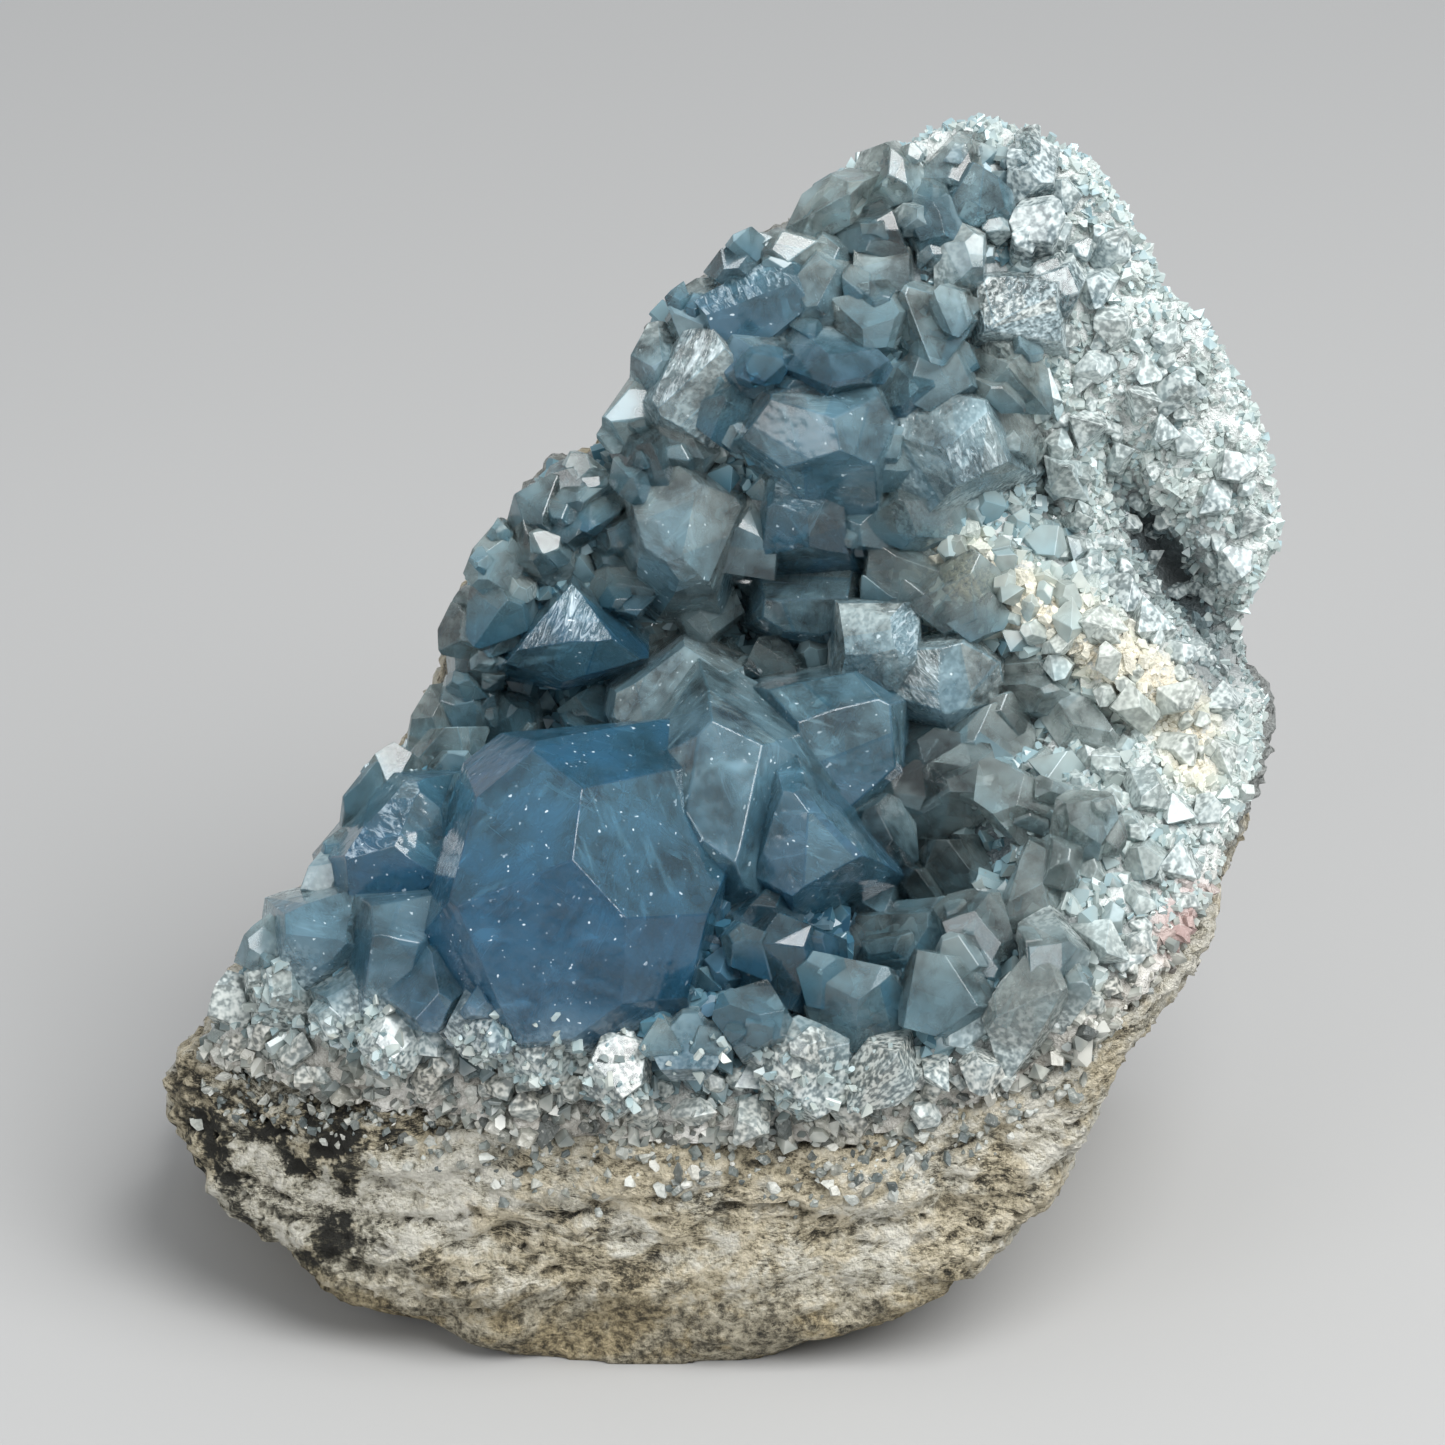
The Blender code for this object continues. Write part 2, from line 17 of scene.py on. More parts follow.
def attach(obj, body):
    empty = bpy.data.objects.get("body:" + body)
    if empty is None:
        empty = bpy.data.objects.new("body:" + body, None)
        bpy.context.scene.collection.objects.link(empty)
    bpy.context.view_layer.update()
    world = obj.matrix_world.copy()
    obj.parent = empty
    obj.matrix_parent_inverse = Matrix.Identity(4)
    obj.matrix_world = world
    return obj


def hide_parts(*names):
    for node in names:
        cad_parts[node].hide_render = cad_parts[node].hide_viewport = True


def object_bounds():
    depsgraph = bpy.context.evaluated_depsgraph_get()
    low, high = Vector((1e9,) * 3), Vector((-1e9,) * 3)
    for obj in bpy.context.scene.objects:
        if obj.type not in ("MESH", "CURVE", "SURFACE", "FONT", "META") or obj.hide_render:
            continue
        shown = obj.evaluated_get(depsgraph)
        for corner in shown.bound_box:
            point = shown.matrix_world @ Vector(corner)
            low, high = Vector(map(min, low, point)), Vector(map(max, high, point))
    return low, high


bl_info = {
    "name": "Celestite Crystal Cluster",
    "version": (1, 0, 0),
    "blender": (4, 5, 0),
    "location": "View3D > Sidebar > Celestite",
    "description": "Dresses the solids of a celestite crystal cluster",
    "category": "Add Mesh",
}

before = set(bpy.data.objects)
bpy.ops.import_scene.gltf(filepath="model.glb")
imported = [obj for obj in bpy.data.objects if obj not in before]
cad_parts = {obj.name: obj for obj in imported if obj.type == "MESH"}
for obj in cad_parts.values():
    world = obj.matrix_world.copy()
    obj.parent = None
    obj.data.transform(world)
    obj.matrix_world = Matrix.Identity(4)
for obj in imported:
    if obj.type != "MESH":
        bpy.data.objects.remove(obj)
CAD_BOX = [list(corner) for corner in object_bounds()]

MM = 0.001
PHOTO_SPAN = 0.16618  # metres that the photograph's frame spans at the specimen
VIEW_DISTANCE = 0.8
SENSOR = 36.0

# The leaning face of the specimen
LEAN = 25.0
WIDTH = 129.0
HEIGHT = 142.0
MIDDLE = (-0.3, -40.3)
SEAM_GAP = 0.3
CRUST = 7.0
ROCK_LUMPS = 1.5

FACE = (
    Matrix.Translation(Vector((MIDDLE[0], MIDDLE[1], 0.0)) * MM)
    @ Matrix.Rotation(math.radians(90.0 - LEAN), 4, "X")
    @ Matrix.Scale(MM, 4)
)
OUTWARD = FACE.to_3x3().normalized() @ Vector((0.0, 0.0, 1.0))
UPRIGHT = FACE.to_3x3().normalized().transposed() @ Vector((0.0, 0.0, 1.0))
TOP_LIMIT = CAD_BOX[1][2] / MM + 1.0  # how high the crystals may reach

OUTLINE = [
    (-65.5, 30.5), (-64.0, 34.0), (-59.5, 39.5), (-57.0, 44.5), (-53.0, 50.5), (-47.5, 55.5),
    (-45.0, 61.5), (-41.5, 67.5), (-37.0, 71.5), (-34.5, 76.5), (-32.5, 80.5), (-33.0, 85.0),
    (-29.5, 90.5), (-25.5, 97.5), (-21.5, 103.0), (-18.0, 105.5), (-15.0, 103.5), (-13.5, 107.5),
    (-10.0, 115.0), (-8.0, 120.5), (-2.5, 125.5), (8.0, 131.8), (10.5, 137.0), (17.0, 141.2),
    (27.5, 145.2), (34.5, 144.6), (43.5, 141.0), (48.6, 134.0), (52.2, 126.3), (58.6, 120.2),
    (63.8, 111.2), (66.4, 102.8), (66.9, 95.5), (64.2, 90.0), (61.8, 84.5), (64.8, 77.5),
    (64.0, 71.0), (60.5, 61.5), (56.8, 53.0), (51.8, 45.0), (45.8, 37.0), (42.8, 30.5),
    (39.5, 23.5), (34.0, 16.5), (27.0, 10.0), (17.5, 5.2), (6.0, 1.6), (-4.0, -0.4),
    (-12.0, -0.6), (-22.5, 1.0), (-31.5, 5.0), (-40.5, 7.2), (-47.0, 10.4), (-56.0, 17.5),
    (-62.5, 24.5),
]

PROFILE = [
    (-14.0, -9.0), (0.0, 0.0), (12.0, 8.0), (25.0, 12.5), (38.0, 14.0), (48.0, 10.5),
    (60.0, 2.0), (76.0, -11.0), (90.0, -11.5), (106.0, -6.5), (124.0, -4.0), (142.0, -5.0),
    (156.0, -9.0),
]

# Swells and hollows of the face: across, up, height, half length, half width, direction
SWELLS = {
    "left_fall": (-62.0, 30.0, -9.0, 22.0, 16.0, 60.0),
    "far_hollow": (-16.0, 77.0, -8.0, 20.0, 7.0, 18.0),
    "back_hollow": (7.0, 87.0, -7.0, 13.0, 6.0, 25.0),
    "side_hollow": (19.0, 55.0, -12.0, 14.0, 9.0, 70.0),
    "right_wall": (46.0, 60.0, 8.0, 26.0, 13.0, 75.0),
    "pale_ridge": (39.0, 86.0, 10.0, 21.0, 6.5, -32.0),
    "cleft": (52.5, 93.0, -10.0, 13.0, 3.8, -58.0),
    "crack": (37.5, 101.0, -4.0, 9.0, 2.2, -75.0),
    "right_lobe": (57.0, 106.0, -3.0, 12.0, 9.0, 80.0),
    "upper_bulge": (12.0, 112.0, 6.0, 20.0, 14.0, 40.0),
    "left_wall": (-24.0, 92.0, 5.0, 13.0, 7.0, 55.0),
    "seat": (-18.0, 52.0, 4.0, 24.0, 14.0, 10.0),
}

# Large crystals: across, up, rise, their faces as (direction, tilt, distance), and their tints:
# blue from nought to one, milky from nought to one
GREAT_CRYSTALS = {
    "great_blue": (-18.0, 54.0, 3.5, [
        (122, 36, 13.5), (262, 14, 12.5), (32, 42, 13.0), (340, 40, 14.5), (75, 62, 16.0),
        (160, 78, 14.0), (210, 60, 15.0), (300, 60, 16.5), (345, 78, 17.0), (270, 78, 18.0),
        (95, 84, 18.5), (128, 74, 16.2)], 1.0, 0.0),
    "pale_slab": (-0.5, 66.0, 6.0, [
        (100, 12, 10.0), (135, 70, 9.0), (200, 65, 8.5), (228, 50, 11.0), (280, 62, 14.0),
        (350, 55, 9.5), (62, 75, 10.0)], 0.6, 0.16),
    "upper_slab": (-5.0, 76.0, 5.5, [
        (108, 28, 7.5), (330, 22, 7.6), (125, 80, 6.5), (62, 75, 7.6), (10, 72, 8.0),
        (310, 76, 6.5), (220, 74, 8.0), (168, 78, 8.4)], 0.42, 0.3),
    "right_slab": (12.5, 72.0, 6.0, [
        (330, 14, 7.0), (95, 52, 7.6), (100, 82, 7.7), (55, 78, 8.5), (2, 75, 8.3),
        (312, 70, 8.3), (258, 62, 9.0), (190, 62, 7.0)], 0.72, 0.12),
    "front_wedge": (9.0, 60.5, 9.0, [
        (205, 26, 6.5), (335, 32, 6.5), (35, 75, 5.6), (165, 75, 5.5), (300, 70, 6.2),
        (236, 72, 7.0), (90, 60, 9.0), (270, 42, 8.6)], 0.74, 0.1),
    "left_block": (-37.0, 60.0, 3.0, [
        (250, 22, 8.5), (118, 48, 6.4), (50, 38, 7.4), (140, 78, 5.4), (95, 80, 7.6),
        (190, 72, 8.0), (20, 75, 7.0), (290, 75, 7.5)], 0.86, 0.0),
    "tip_left": (-45.5, 50.0, 2.5, [
        (250, 30, 5.0), (90, 38, 4.6), (105, 80, 4.4), (180, 75, 5.2), (10, 70, 5.0),
        (300, 70, 4.6)], 0.62, 0.2),
    "tip_right": (-36.5, 49.5, 3.5, [
        (260, 25, 5.2), (70, 38, 4.8), (95, 80, 5.0), (0, 75, 4.8), (180, 70, 4.6),
        (320, 60, 5.4)], 0.68, 0.12),
    "trillion": (-17.5, 83.5, 7.0, [
        (82, 20, 5.6), (275, 36, 4.8), (138, 78, 5.2), (45, 75, 5.6), (255, 78, 5.2),
        (285, 80, 4.6)], 0.7, 0.02),
    "near_round": (18.0, 83.0, 6.0, [
        (120, 30, 5.2), (30, 50, 5.2), (250, 35, 5.4), (180, 75, 5.0), (90, 80, 5.3),
        (320, 70, 5.4), (0, 80, 5.0), (270, 80, 5.6)], 0.4, 0.42),
    "striated": (25.5, 79.5, 4.0, [
        (200, 30, 5.6), (340, 28, 5.8), (100, 75, 5.0), (50, 75, 6.2), (0, 75, 7.3),
        (300, 70, 5.8), (245, 70, 5.4), (180, 75, 7.3)], 0.34, 0.4),
    "upper_great": (11.5, 107.5, 4.5, [
        (200, 25, 6.2), (10, 35, 6.8), (90, 50, 5.8), (150, 75, 8.0), (102, 80, 5.9),
        (30, 78, 8.0), (340, 75, 7.8), (270, 60, 5.8), (230, 75, 7.0)], 0.56, 0.16),
    "pale_green": (-4.5, 96.8, 5.0, [
        (150, 25, 5.8), (0, 35, 5.8), (100, 75, 7.6), (60, 75, 6.5), (190, 75, 6.0),
        (340, 75, 6.0), (270, 70, 7.6), (230, 70, 6.5)], 0.14, 0.1),
    "dark_point": (9.5, 98.0, 4.0, [
        (100, 30, 4.6), (220, 35, 4.6), (340, 35, 4.6), (90, 80, 5.2), (180, 78, 5.0),
        (0, 78, 5.0), (270, 75, 4.6)], 0.7, 0.0),
    "lower_step": (10.0, 89.0, 5.0, [
        (260, 30, 5.6), (100, 40, 4.8), (180, 75, 6.4), (0, 75, 6.4), (290, 75, 5.8),
        (240, 75, 5.8), (70, 75, 5.6), (120, 78, 5.6)], 0.4, 0.1),
    "upper_right": (26.0, 106.5, 4.0, [
        (120, 25, 5.6), (330, 30, 5.8), (230, 40, 5.8), (170, 75, 7.0), (80, 80, 6.0),
        (20, 75, 6.4), (300, 75, 6.0)], 0.34, 0.4),
    "white_tab": (34.0, 122.0, 3.0, [
        (110, 25, 4.0), (300, 40, 4.0), (90, 80, 3.9), (180, 75, 5.2), (0, 75, 5.2),
        (270, 75, 4.0)], 0.2, 0.75),
    "edge_face": (-3.5, 114.0, 2.5, [
        (140, 36, 4.8), (300, 28, 5.6), (150, 82, 3.8), (100, 76, 6.0), (40, 74, 6.4),
        (340, 72, 6.4), (250, 72, 7.0), (205, 76, 6.4)], 0.34, 0.45),
    "top_slab": (4.0, 122.5, 2.0, [
        (116, 45, 4.0), (290, 24, 4.6), (118, 84, 3.8), (30, 76, 7.0), (205, 76, 7.0),
        (300, 76, 5.0)], 0.66, 0.12),
}

# Blocky crystals of celestite's own habit: across, up, half length
BLOCKY_CRYSTALS = [
    (17.0, 130.0, 4.4), (23.5, 132.0, 4.4), (30.5, 134.0, 5.0), (36.5, 130.5, 4.4),
    (27.5, 127.0, 4.8), (19.0, 125.5, 4.8), (38.5, 124.5, 4.6), (11.5, 124.5, 5.0),
    (16.5, 120.0, 5.6), (11.0, 116.0, 6.2), (24.5, 120.5, 6.0), (25.0, 113.5, 5.6),
    (32.5, 114.5, 5.6), (4.5, 115.5, 5.2), (1.0, 109.5, 5.0), (-4.5, 106.5, 4.8),
    (-9.0, 105.5, 4.6), (18.5, 112.0, 4.6), (19.0, 105.0, 5.0), (33.0, 107.5, 5.0),
    (-16.0, 98.5, 4.8), (-20.5, 94.0, 4.8), (-12.5, 97.0, 4.4), (-25.5, 87.5, 5.2),
    (-10.0, 91.0, 5.0), (-2.0, 87.5, 5.6), (3.0, 96.5, 5.4), (17.0, 97.5, 4.8),
    (22.5, 98.0, 5.8), (20.5, 91.0, 6.2), (27.5, 89.0, 5.4), (-29.5, 76.5, 5.2),
    (-33.0, 70.0, 4.6), (-24.5, 72.5, 5.0), (-14.0, 75.0, 5.4), (-9.5, 82.0, 4.0),
    (5.5, 80.5, 4.4), (16.5, 77.0, 4.6), (24.5, 71.5, 5.0), (25.0, 65.0, 6.6),
    (31.5, 71.5, 5.4), (34.5, 78.0, 5.2), (41.0, 74.0, 4.4), (35.0, 64.5, 5.4),
    (17.0, 61.5, 6.2), (19.0, 54.0, 6.0), (27.0, 57.0, 6.0), (21.0, 48.5, 6.6),
    (29.0, 50.5, 5.4), (35.5, 55.0, 5.2), (37.5, 48.5, 5.0), (26.5, 43.0, 6.6),
    (34.0, 41.5, 5.0), (14.5, 42.0, 6.8), (7.5, 47.0, 7.0), (3.5, 40.5, 6.0),
    (9.5, 35.0, 6.0), (18.5, 35.0, 5.4), (-3.5, 38.0, 5.2), (-33.0, 44.5, 5.8),
    (-26.5, 40.5, 5.4), (-42.5, 42.5, 5.0), (-50.0, 43.0, 4.8), (-37.5, 38.5, 4.6),
    (-20.0, 37.0, 4.6), (-12.0, 35.5, 5.2), (-26.5, 64.5, 5.2), (41.0, 62.0, 4.8),
]

# Crystals that reach the outline on the left, in the looks alone: across, up, half length
EDGE_CRYSTALS = [
    (-10.5, 109.5, 5.0), (-7.0, 116.0, 5.2), (-3.0, 121.0, 4.6), (2.0, 126.5, 4.6), (8.0, 128.0, 4.6),
    (12.5, 133.5, 4.6), (19.0, 137.5, 4.4), (27.5, 139.5, 4.2), (36.0, 138.0, 4.0), (-16.5, 101.5, 4.2),
    (-21.0, 98.5, 4.8), (-26.0, 93.0, 4.8), (-29.5, 85.5, 4.6), (-29.0, 81.0, 4.2), (-34.0, 74.5, 4.6),
    (-38.5, 68.5, 4.4), (-42.0, 64.5, 4.0), (-45.5, 57.0, 4.2), (-52.0, 48.5, 4.4), (-56.0, 42.5, 4.0),
]

SCATTERED = 84
SCATTER_SEED = 11
SMALL_HALF = (2.0, 3.4)
SMALL_MARGIN = 4.8

CELL = (8.36, 5.35, 6.87)
PRISM = ((0, 1, 1), 0.62)
TABLET = ((0, 0, 1), 0.60)
CHISEL = ((1, 0, 1), 0.80)
WEDGE = ((2, 1, 0), 0.84)
HABITS = [(PRISM, TABLET, CHISEL), (PRISM, TABLET, WEDGE), (PRISM, CHISEL, WEDGE)]
SMALL_HABITS = [(PRISM, CHISEL), (PRISM, TABLET, WEDGE)]

# Where the crystals are bluest: across, up, strength, radius
BLUE_PATCHES = [
    (-18.0, 52.0, 0.75, 20.0), (-42.0, 54.0, 0.35, 12.0), (6.0, 56.0, 0.55, 11.0),
    (2.0, 119.0, 0.45, 12.0), (12.0, 108.0, 0.3, 9.0), (10.0, 97.0, 0.35, 7.0),
    (12.0, 42.0, 0.35, 14.0), (-12.0, 100.0, 0.2, 10.0), (-18.0, 84.0, 0.35, 7.0),
    (30.0, 132.0, 0.3, 9.0), (24.0, 114.0, 0.15, 9.0), (-30.0, 38.0, 0.25, 7.0),
]
# Where painted shade darkens the crystals and the ground down in the hollows, and the crystals are a little clearer:
# across, up, strength, radius
CLEAR_AND_SHADED_PATCHES = [
    (23.0, 62.0, 0.95, 11.0), (2.0, 84.0, 1.0, 11.0), (-21.0, 76.0, 1.0, 7.0), (33.0, 50.0, 0.45, 9.0),
    (52.5, 92.0, 1.0, 6.0), (57.0, 82.0, 0.8, 6.0), (12.0, 93.0, 0.55, 8.0), (-20.0, 100.0, 0.3, 7.0),
    (19.0, 130.0, 0.5, 5.0), (38.0, 126.0, 0.5, 4.0), (-6.0, 100.0, 0.3, 10.0), (37.5, 101.0, 0.6, 3.0),
    (4.0, 46.0, 0.3, 9.0), (30.0, 44.0, 0.45, 10.0),
]
# Ranges of the marks of loose lumps, in the order of the marks' names; the fourth is painted shade
SEAM_TINTS = ((0.0, 0.2), (0.0, 0.0), (0.0, 0.0), (0.0, 0.4), (0.8, 1.0), (0.0, 0.0))
CREEPING_TINTS = ((0.1, 0.4), (0.2, 1.0), (0.0, 0.1), (0.0, 0.3), (0.0, 0.7), (0.0, 0.0))
RIDGE_LINE = [(26.0, 94.0), (34.0, 89.0), (44.0, 82.5), (52.0, 76.0), (55.0, 70.0)]
PINK_SPOT = (53.5, 51.5, 7.5)

WIDEST_PLAIN = 15.0  # larger crystals have more healed fractures

# Faces of the great crystals that are crumpled, and get whitish wrinkles painted on as a highlight, by their numbers
# in the table
CRUMPLED_HIGHLIGHT_FACES = {
    "trillion": (0,), "left_block": (1,), "near_round": (1,), "dark_point": (0,), "edge_face": (0,),
    "upper_right": (1,), "top_slab": (0,), "striated": (0,),
}


def smooth_between(points, at):
    """Height of the curve through points at a place, eased from each point to the next."""
    if at <= points[0][0]:
        return points[0][1]
    for (low, first), (high, second) in zip(points, points[1:]):
        if at <= high:
            share = (at - low) / (high - low)
            share = share * share * (3.0 - 2.0 * share)
            return first + (second - first) * share
    return points[-1][1]


def swell(across, up, shape):
    """Height that one swell adds at a place of the face."""
    centre_across, centre_up, height, half_length, half_width, direction = shape
    turn = math.radians(direction)
    east, north = across - centre_across, up - centre_up
    along = (east * math.cos(turn) + north * math.sin(turn)) / half_length
    beside = (north * math.cos(turn) - east * math.sin(turn)) / half_width
    return height * math.exp(-along * along - beside * beside)


def face_height(across, up):
    """How far the crust's surface stands out of the leaning plane."""
    fall = 9.0 * (across / (0.5 * WIDTH)) ** 2
    return smooth_between(PROFILE, up) - fall + sum(swell(across, up, s) for s in SWELLS.values())


def rock_line(across):
    """Height up the face of the line where the bare rock ends and the crust begins."""
    curve = 0.0105 if across > 8.0 else 0.0019
    return 25.2 + curve * (across - 8.0) ** 2


def crust_depth(across, up):
    """Thickness of the crust, below nought where the rock is bare."""
    return max(-9.0, min(CRUST, (up - rock_line(across)) * 0.8))


def from_edge(across, up):
    """Distance from a place to the outline's nearest edge, below nought outside the outline."""
    inside = False
    here = Vector((across, up))
    least = 1000.0
    for start, end in zip(OUTLINE, OUTLINE[1:] + OUTLINE[:1]):
        if (start[1] > up) != (end[1] > up):
            if across < start[0] + (up - start[1]) * (end[0] - start[0]) / (end[1] - start[1]):
                inside = not inside
        nearest, share = intersect_point_line(here, Vector(start), Vector(end))
        nearest = Vector(start) if share < 0.0 else Vector(end) if share > 1.0 else nearest
        least = min(least, (here - nearest).length)
    return least if inside else -least


def eased(low, high, at):
    """Nought below low, one above high, and eased between them."""
    share = max(0.0, min(1.0, (at - low) / (high - low)))
    return share * share * (3.0 - 2.0 * share)


def blueness(across, up):
    """How blue the crystals are at a place of the face."""
    found = 0.24
    for centre_across, centre_up, strength, radius in BLUE_PATCHES:
        away = math.hypot(across - centre_across, up - centre_up) / radius
        found += strength * math.exp(-away * away)
    fade = eased(28.0, 46.0, across) * eased(128.0, 116.0, up) if up > 40.0 else 0.0
    return max(0.02, min(1.0, found * (1.0 - 0.85 * fade)))


def clear_and_shaded_at(across, up):
    """How much painted shade darkens a place of the face down in the hollows and the cleft, where the crystals are
    also a little clearer.
    """
    found = 0.0
    for centre_across, centre_up, strength, radius in CLEAR_AND_SHADED_PATCHES:
        away = math.hypot(across - centre_across, up - centre_up) / radius
        found = max(found, strength * math.exp(-away * away))
    sunk = swell(across, up, SWELLS["cleft"]) + swell(across, up, SWELLS["crack"])
    return max(found, eased(2.5, 7.0, -sunk))


def footness(across, up):
    """How near a place is to the bare rock below the crystals."""
    wander = 4.0 * noise.noise(Vector((across * 0.12, up * 0.12, 5.0)))
    return 1.0 - eased(3.0, 13.0, up - rock_line(across) + wander)


def granular(across, up):
    """How much a crystal breaks down into grains, low down near the bare rock."""
    wander = 5.0 * noise.noise(Vector((across * 0.13, up * 0.13, 11.0)))
    rightward = eased(6.0, 30.0, across)
    return (1.0 - 0.8 * rightward) * (1.0 - eased(5.0, 20.0, up - rock_line(across) + wander + 4.0 * rightward))


def milkiness(across, up):
    """How white and granular the growth is at a place: most of all at the rim and the right."""
    right = eased(29.0, 56.0, across + 0.2 * (up - 70.0))
    bare = max(eased(12.0, 40.0, across), eased(128.0, 140.0, up))
    rim = (1.0 - eased(1.0, 9.0, from_edge(across, up))) * (0.12 + 0.7 * bare)
    foot = 1.0 - eased(3.0, 13.0, up - rock_line(across))
    return max(0.9 * right, 0.95 * rim, 0.5 * foot)


def beside_line(line, across, up):
    """Distance from a place to a line of points."""
    least = 1000.0
    here = Vector((across, up))
    for start, end in zip(line, line[1:]):
        nearest, share = intersect_point_line(here, Vector(start), Vector(end))
        nearest = Vector(start) if share < 0.0 else Vector(end) if share > 1.0 else nearest
        least = min(least, (here - nearest).length)
    return least


def yellowness(across, up):
    wander = 2.0 * noise.noise(Vector((across * 0.2, up * 0.2, 3.0)))
    return 1.0 - eased(1.4, 5.4, beside_line(RIDGE_LINE, across, up) + wander)


def pinkness(across, up):
    away = math.hypot(across - PINK_SPOT[0], up - PINK_SPOT[1])
    return 1.0 - eased(0.3, 1.0, away / PINK_SPOT[2])


# Mesh helpers

def new_object(name, bm, into=None):
    mesh = bpy.data.meshes.new(name)
    bm.to_mesh(mesh)
    bm.free()
    made = bpy.data.objects.new(name, mesh)
    bpy.context.scene.collection.objects.link(made)
    return made


def apply_modifiers(obj):
    """Replaces an object's mesh with the one that its modifiers make."""
    bpy.context.view_layer.update()
    graph = bpy.context.evaluated_depsgraph_get()
    mesh = bpy.data.meshes.new_from_object(obj.evaluated_get(graph))
    obj.modifiers.clear()
    obj.data = mesh
    return obj


def finish_piece(obj, material, smooth, node=None):
    """Gives a piece its material and shading, and ties it to the frame."""
    obj.data.materials.clear()
    obj.data.materials.append(material)
    obj.data.shade_smooth() if smooth else obj.data.shade_flat()
    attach(obj, "root")
    if node:
        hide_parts(node)


def cut_off(bm, place, away):
    """Cuts away the part of a crystal beyond a plane, and closes the cut."""
    geometry = bm.verts[:] + bm.edges[:] + bm.faces[:]
    cut = bmesh.ops.bisect_plane(bm, geom=geometry, plane_co=place, plane_no=away, clear_outer=True)
    rim = [item for item in cut["geom_cut"] if isinstance(item, bmesh.types.BMEdge)]
    if rim:
        bmesh.ops.edgeloop_fill(bm, edges=rim)


def faceted(facets, reach):
    """A cube cut back by planes, each a unit normal and its distance from the centre."""
    bm = bmesh.new()
    bmesh.ops.create_cube(bm, size=2.0 * reach)
    for normal, distance in facets:
        cut_off(bm, normal * distance, normal)
    bmesh.ops.remove_doubles(bm, verts=bm.verts, dist=0.02)
    bmesh.ops.recalc_face_normals(bm, faces=bm.faces)
    return bm


def direction(turn, tilt):
    """A unit vector tilted away from straight out, towards a direction in the face's plane."""
    turn, tilt = math.radians(turn), math.radians(tilt)
    return Vector(
        (math.sin(tilt) * math.cos(turn), math.sin(tilt) * math.sin(turn), math.cos(tilt))
    )


def habit_normals(indices):
    """All the face normals of one crystal form, from its Miller indices and the cell."""
    signs = [(1, -1) if index else (1,) for index in indices]
    found = []
    for first in signs[0]:
        for second in signs[1]:
            for third in signs[2]:
                indexed = zip(indices, (first, second, third), CELL)
                found.append(Vector([i * sign / edge for i, sign, edge in indexed]).normalized())
    return found


def chip_corners(bm, count, depth, dice):
    """Breaks a few corners off a convex crystal."""
    for _ in range(count):
        corner = dice.choice(bm.verts[:]).co.copy()
        normal = (corner.normalized() + 0.35 * Vector([dice.uniform(-1, 1) for _ in "xyz"])).normalized()
        at = corner - normal * dice.uniform(0.4, 1.0) * depth
        cut_off(bm, at, normal)
    bmesh.ops.recalc_face_normals(bm, faces=bm.faces)


def sliced(bm, spacing):
    """Cuts a crystal's faces into small flat pieces, so that its tints can change across them."""
    for axis in range(3):
        along = Vector([1.0 if n == axis else 0.0 for n in range(3)])
        reach = [vert.co[axis] for vert in bm.verts]
        count = int((max(reach) - min(reach)) / spacing)
        for n in range(count):
            at = min(reach) + (n + 0.6) * spacing
            bmesh.ops.bisect_plane(
                bm, geom=bm.verts[:] + bm.edges[:] + bm.faces[:], plane_co=along * at, plane_no=along
            )


def trimmed(bm, across, up, reach):
    """Breaks a crystal in face coordinates off where it would cross the outline."""
    here = Vector((across, up))
    for start, end in zip(OUTLINE, OUTLINE[1:] + OUTLINE[:1]):
        start, end = Vector(start), Vector(end)
        nearest, share = intersect_point_line(here, start, end)
        if -0.15 < share < 1.15 and (here - nearest).length < reach:
            away = (end - start).orthogonal().normalized()
            away = away if away.dot(nearest - here) > 0.0 else -away
            plane = Vector((away.x, away.y, -0.25)).normalized()
            edge = nearest - away * 0.4
            cut_off(bm, (edge.x, edge.y, face_height(across, up)), plane)
    cut_off(bm, UPRIGHT * TOP_LIMIT, UPRIGHT)
    bmesh.ops.recalc_face_normals(bm, faces=bm.faces)


def creased(facets, count, dice):
    """Adds flats that lean a few degrees from the open faces, as on real crystals."""
    extra = []
    for normal, distance in facets:
        if distance < 3.0:
            continue
        side = normal.orthogonal().normalized()
        other = normal.cross(side)
        for _ in range(count):
            turn = dice.uniform(0.0, 2.0 * math.pi)
            lean = math.radians(dice.uniform(3.5, 9.0))
            offset = distance * dice.uniform(0.05, 0.4)
            toward = side * math.cos(turn) + other * math.sin(turn)
            leaning = normal * math.cos(lean) + toward * math.sin(lean)
            extra.append((leaning, distance * math.cos(lean) + offset * math.sin(lean)))
    return facets + extra


# The fourth mark carries painted shade down in the hollows, where the crystals are also a little clearer
MARKS = ("blue", "milk", "yellow", "deep", "foot", "pink")
# How the marks change where a crystal sinks into the ground, near the rock, and towards its tip. Where it sinks into
# the ground more painted shade is laid on, and towards its tip it is painted paler and less shaded, a painted
# highlight
SUNK_MARKS = (-0.2, 0.35, 0.0, 0.15, 0.0, 0.0)
GRANULAR_MARKS = (-0.25, 0.5, 0.0, 0.0, 0.35, 0.0)
TIP_HIGHLIGHT_MARKS = (-0.5, 0.04, 0.0, -0.25, 0.0, 0.0)


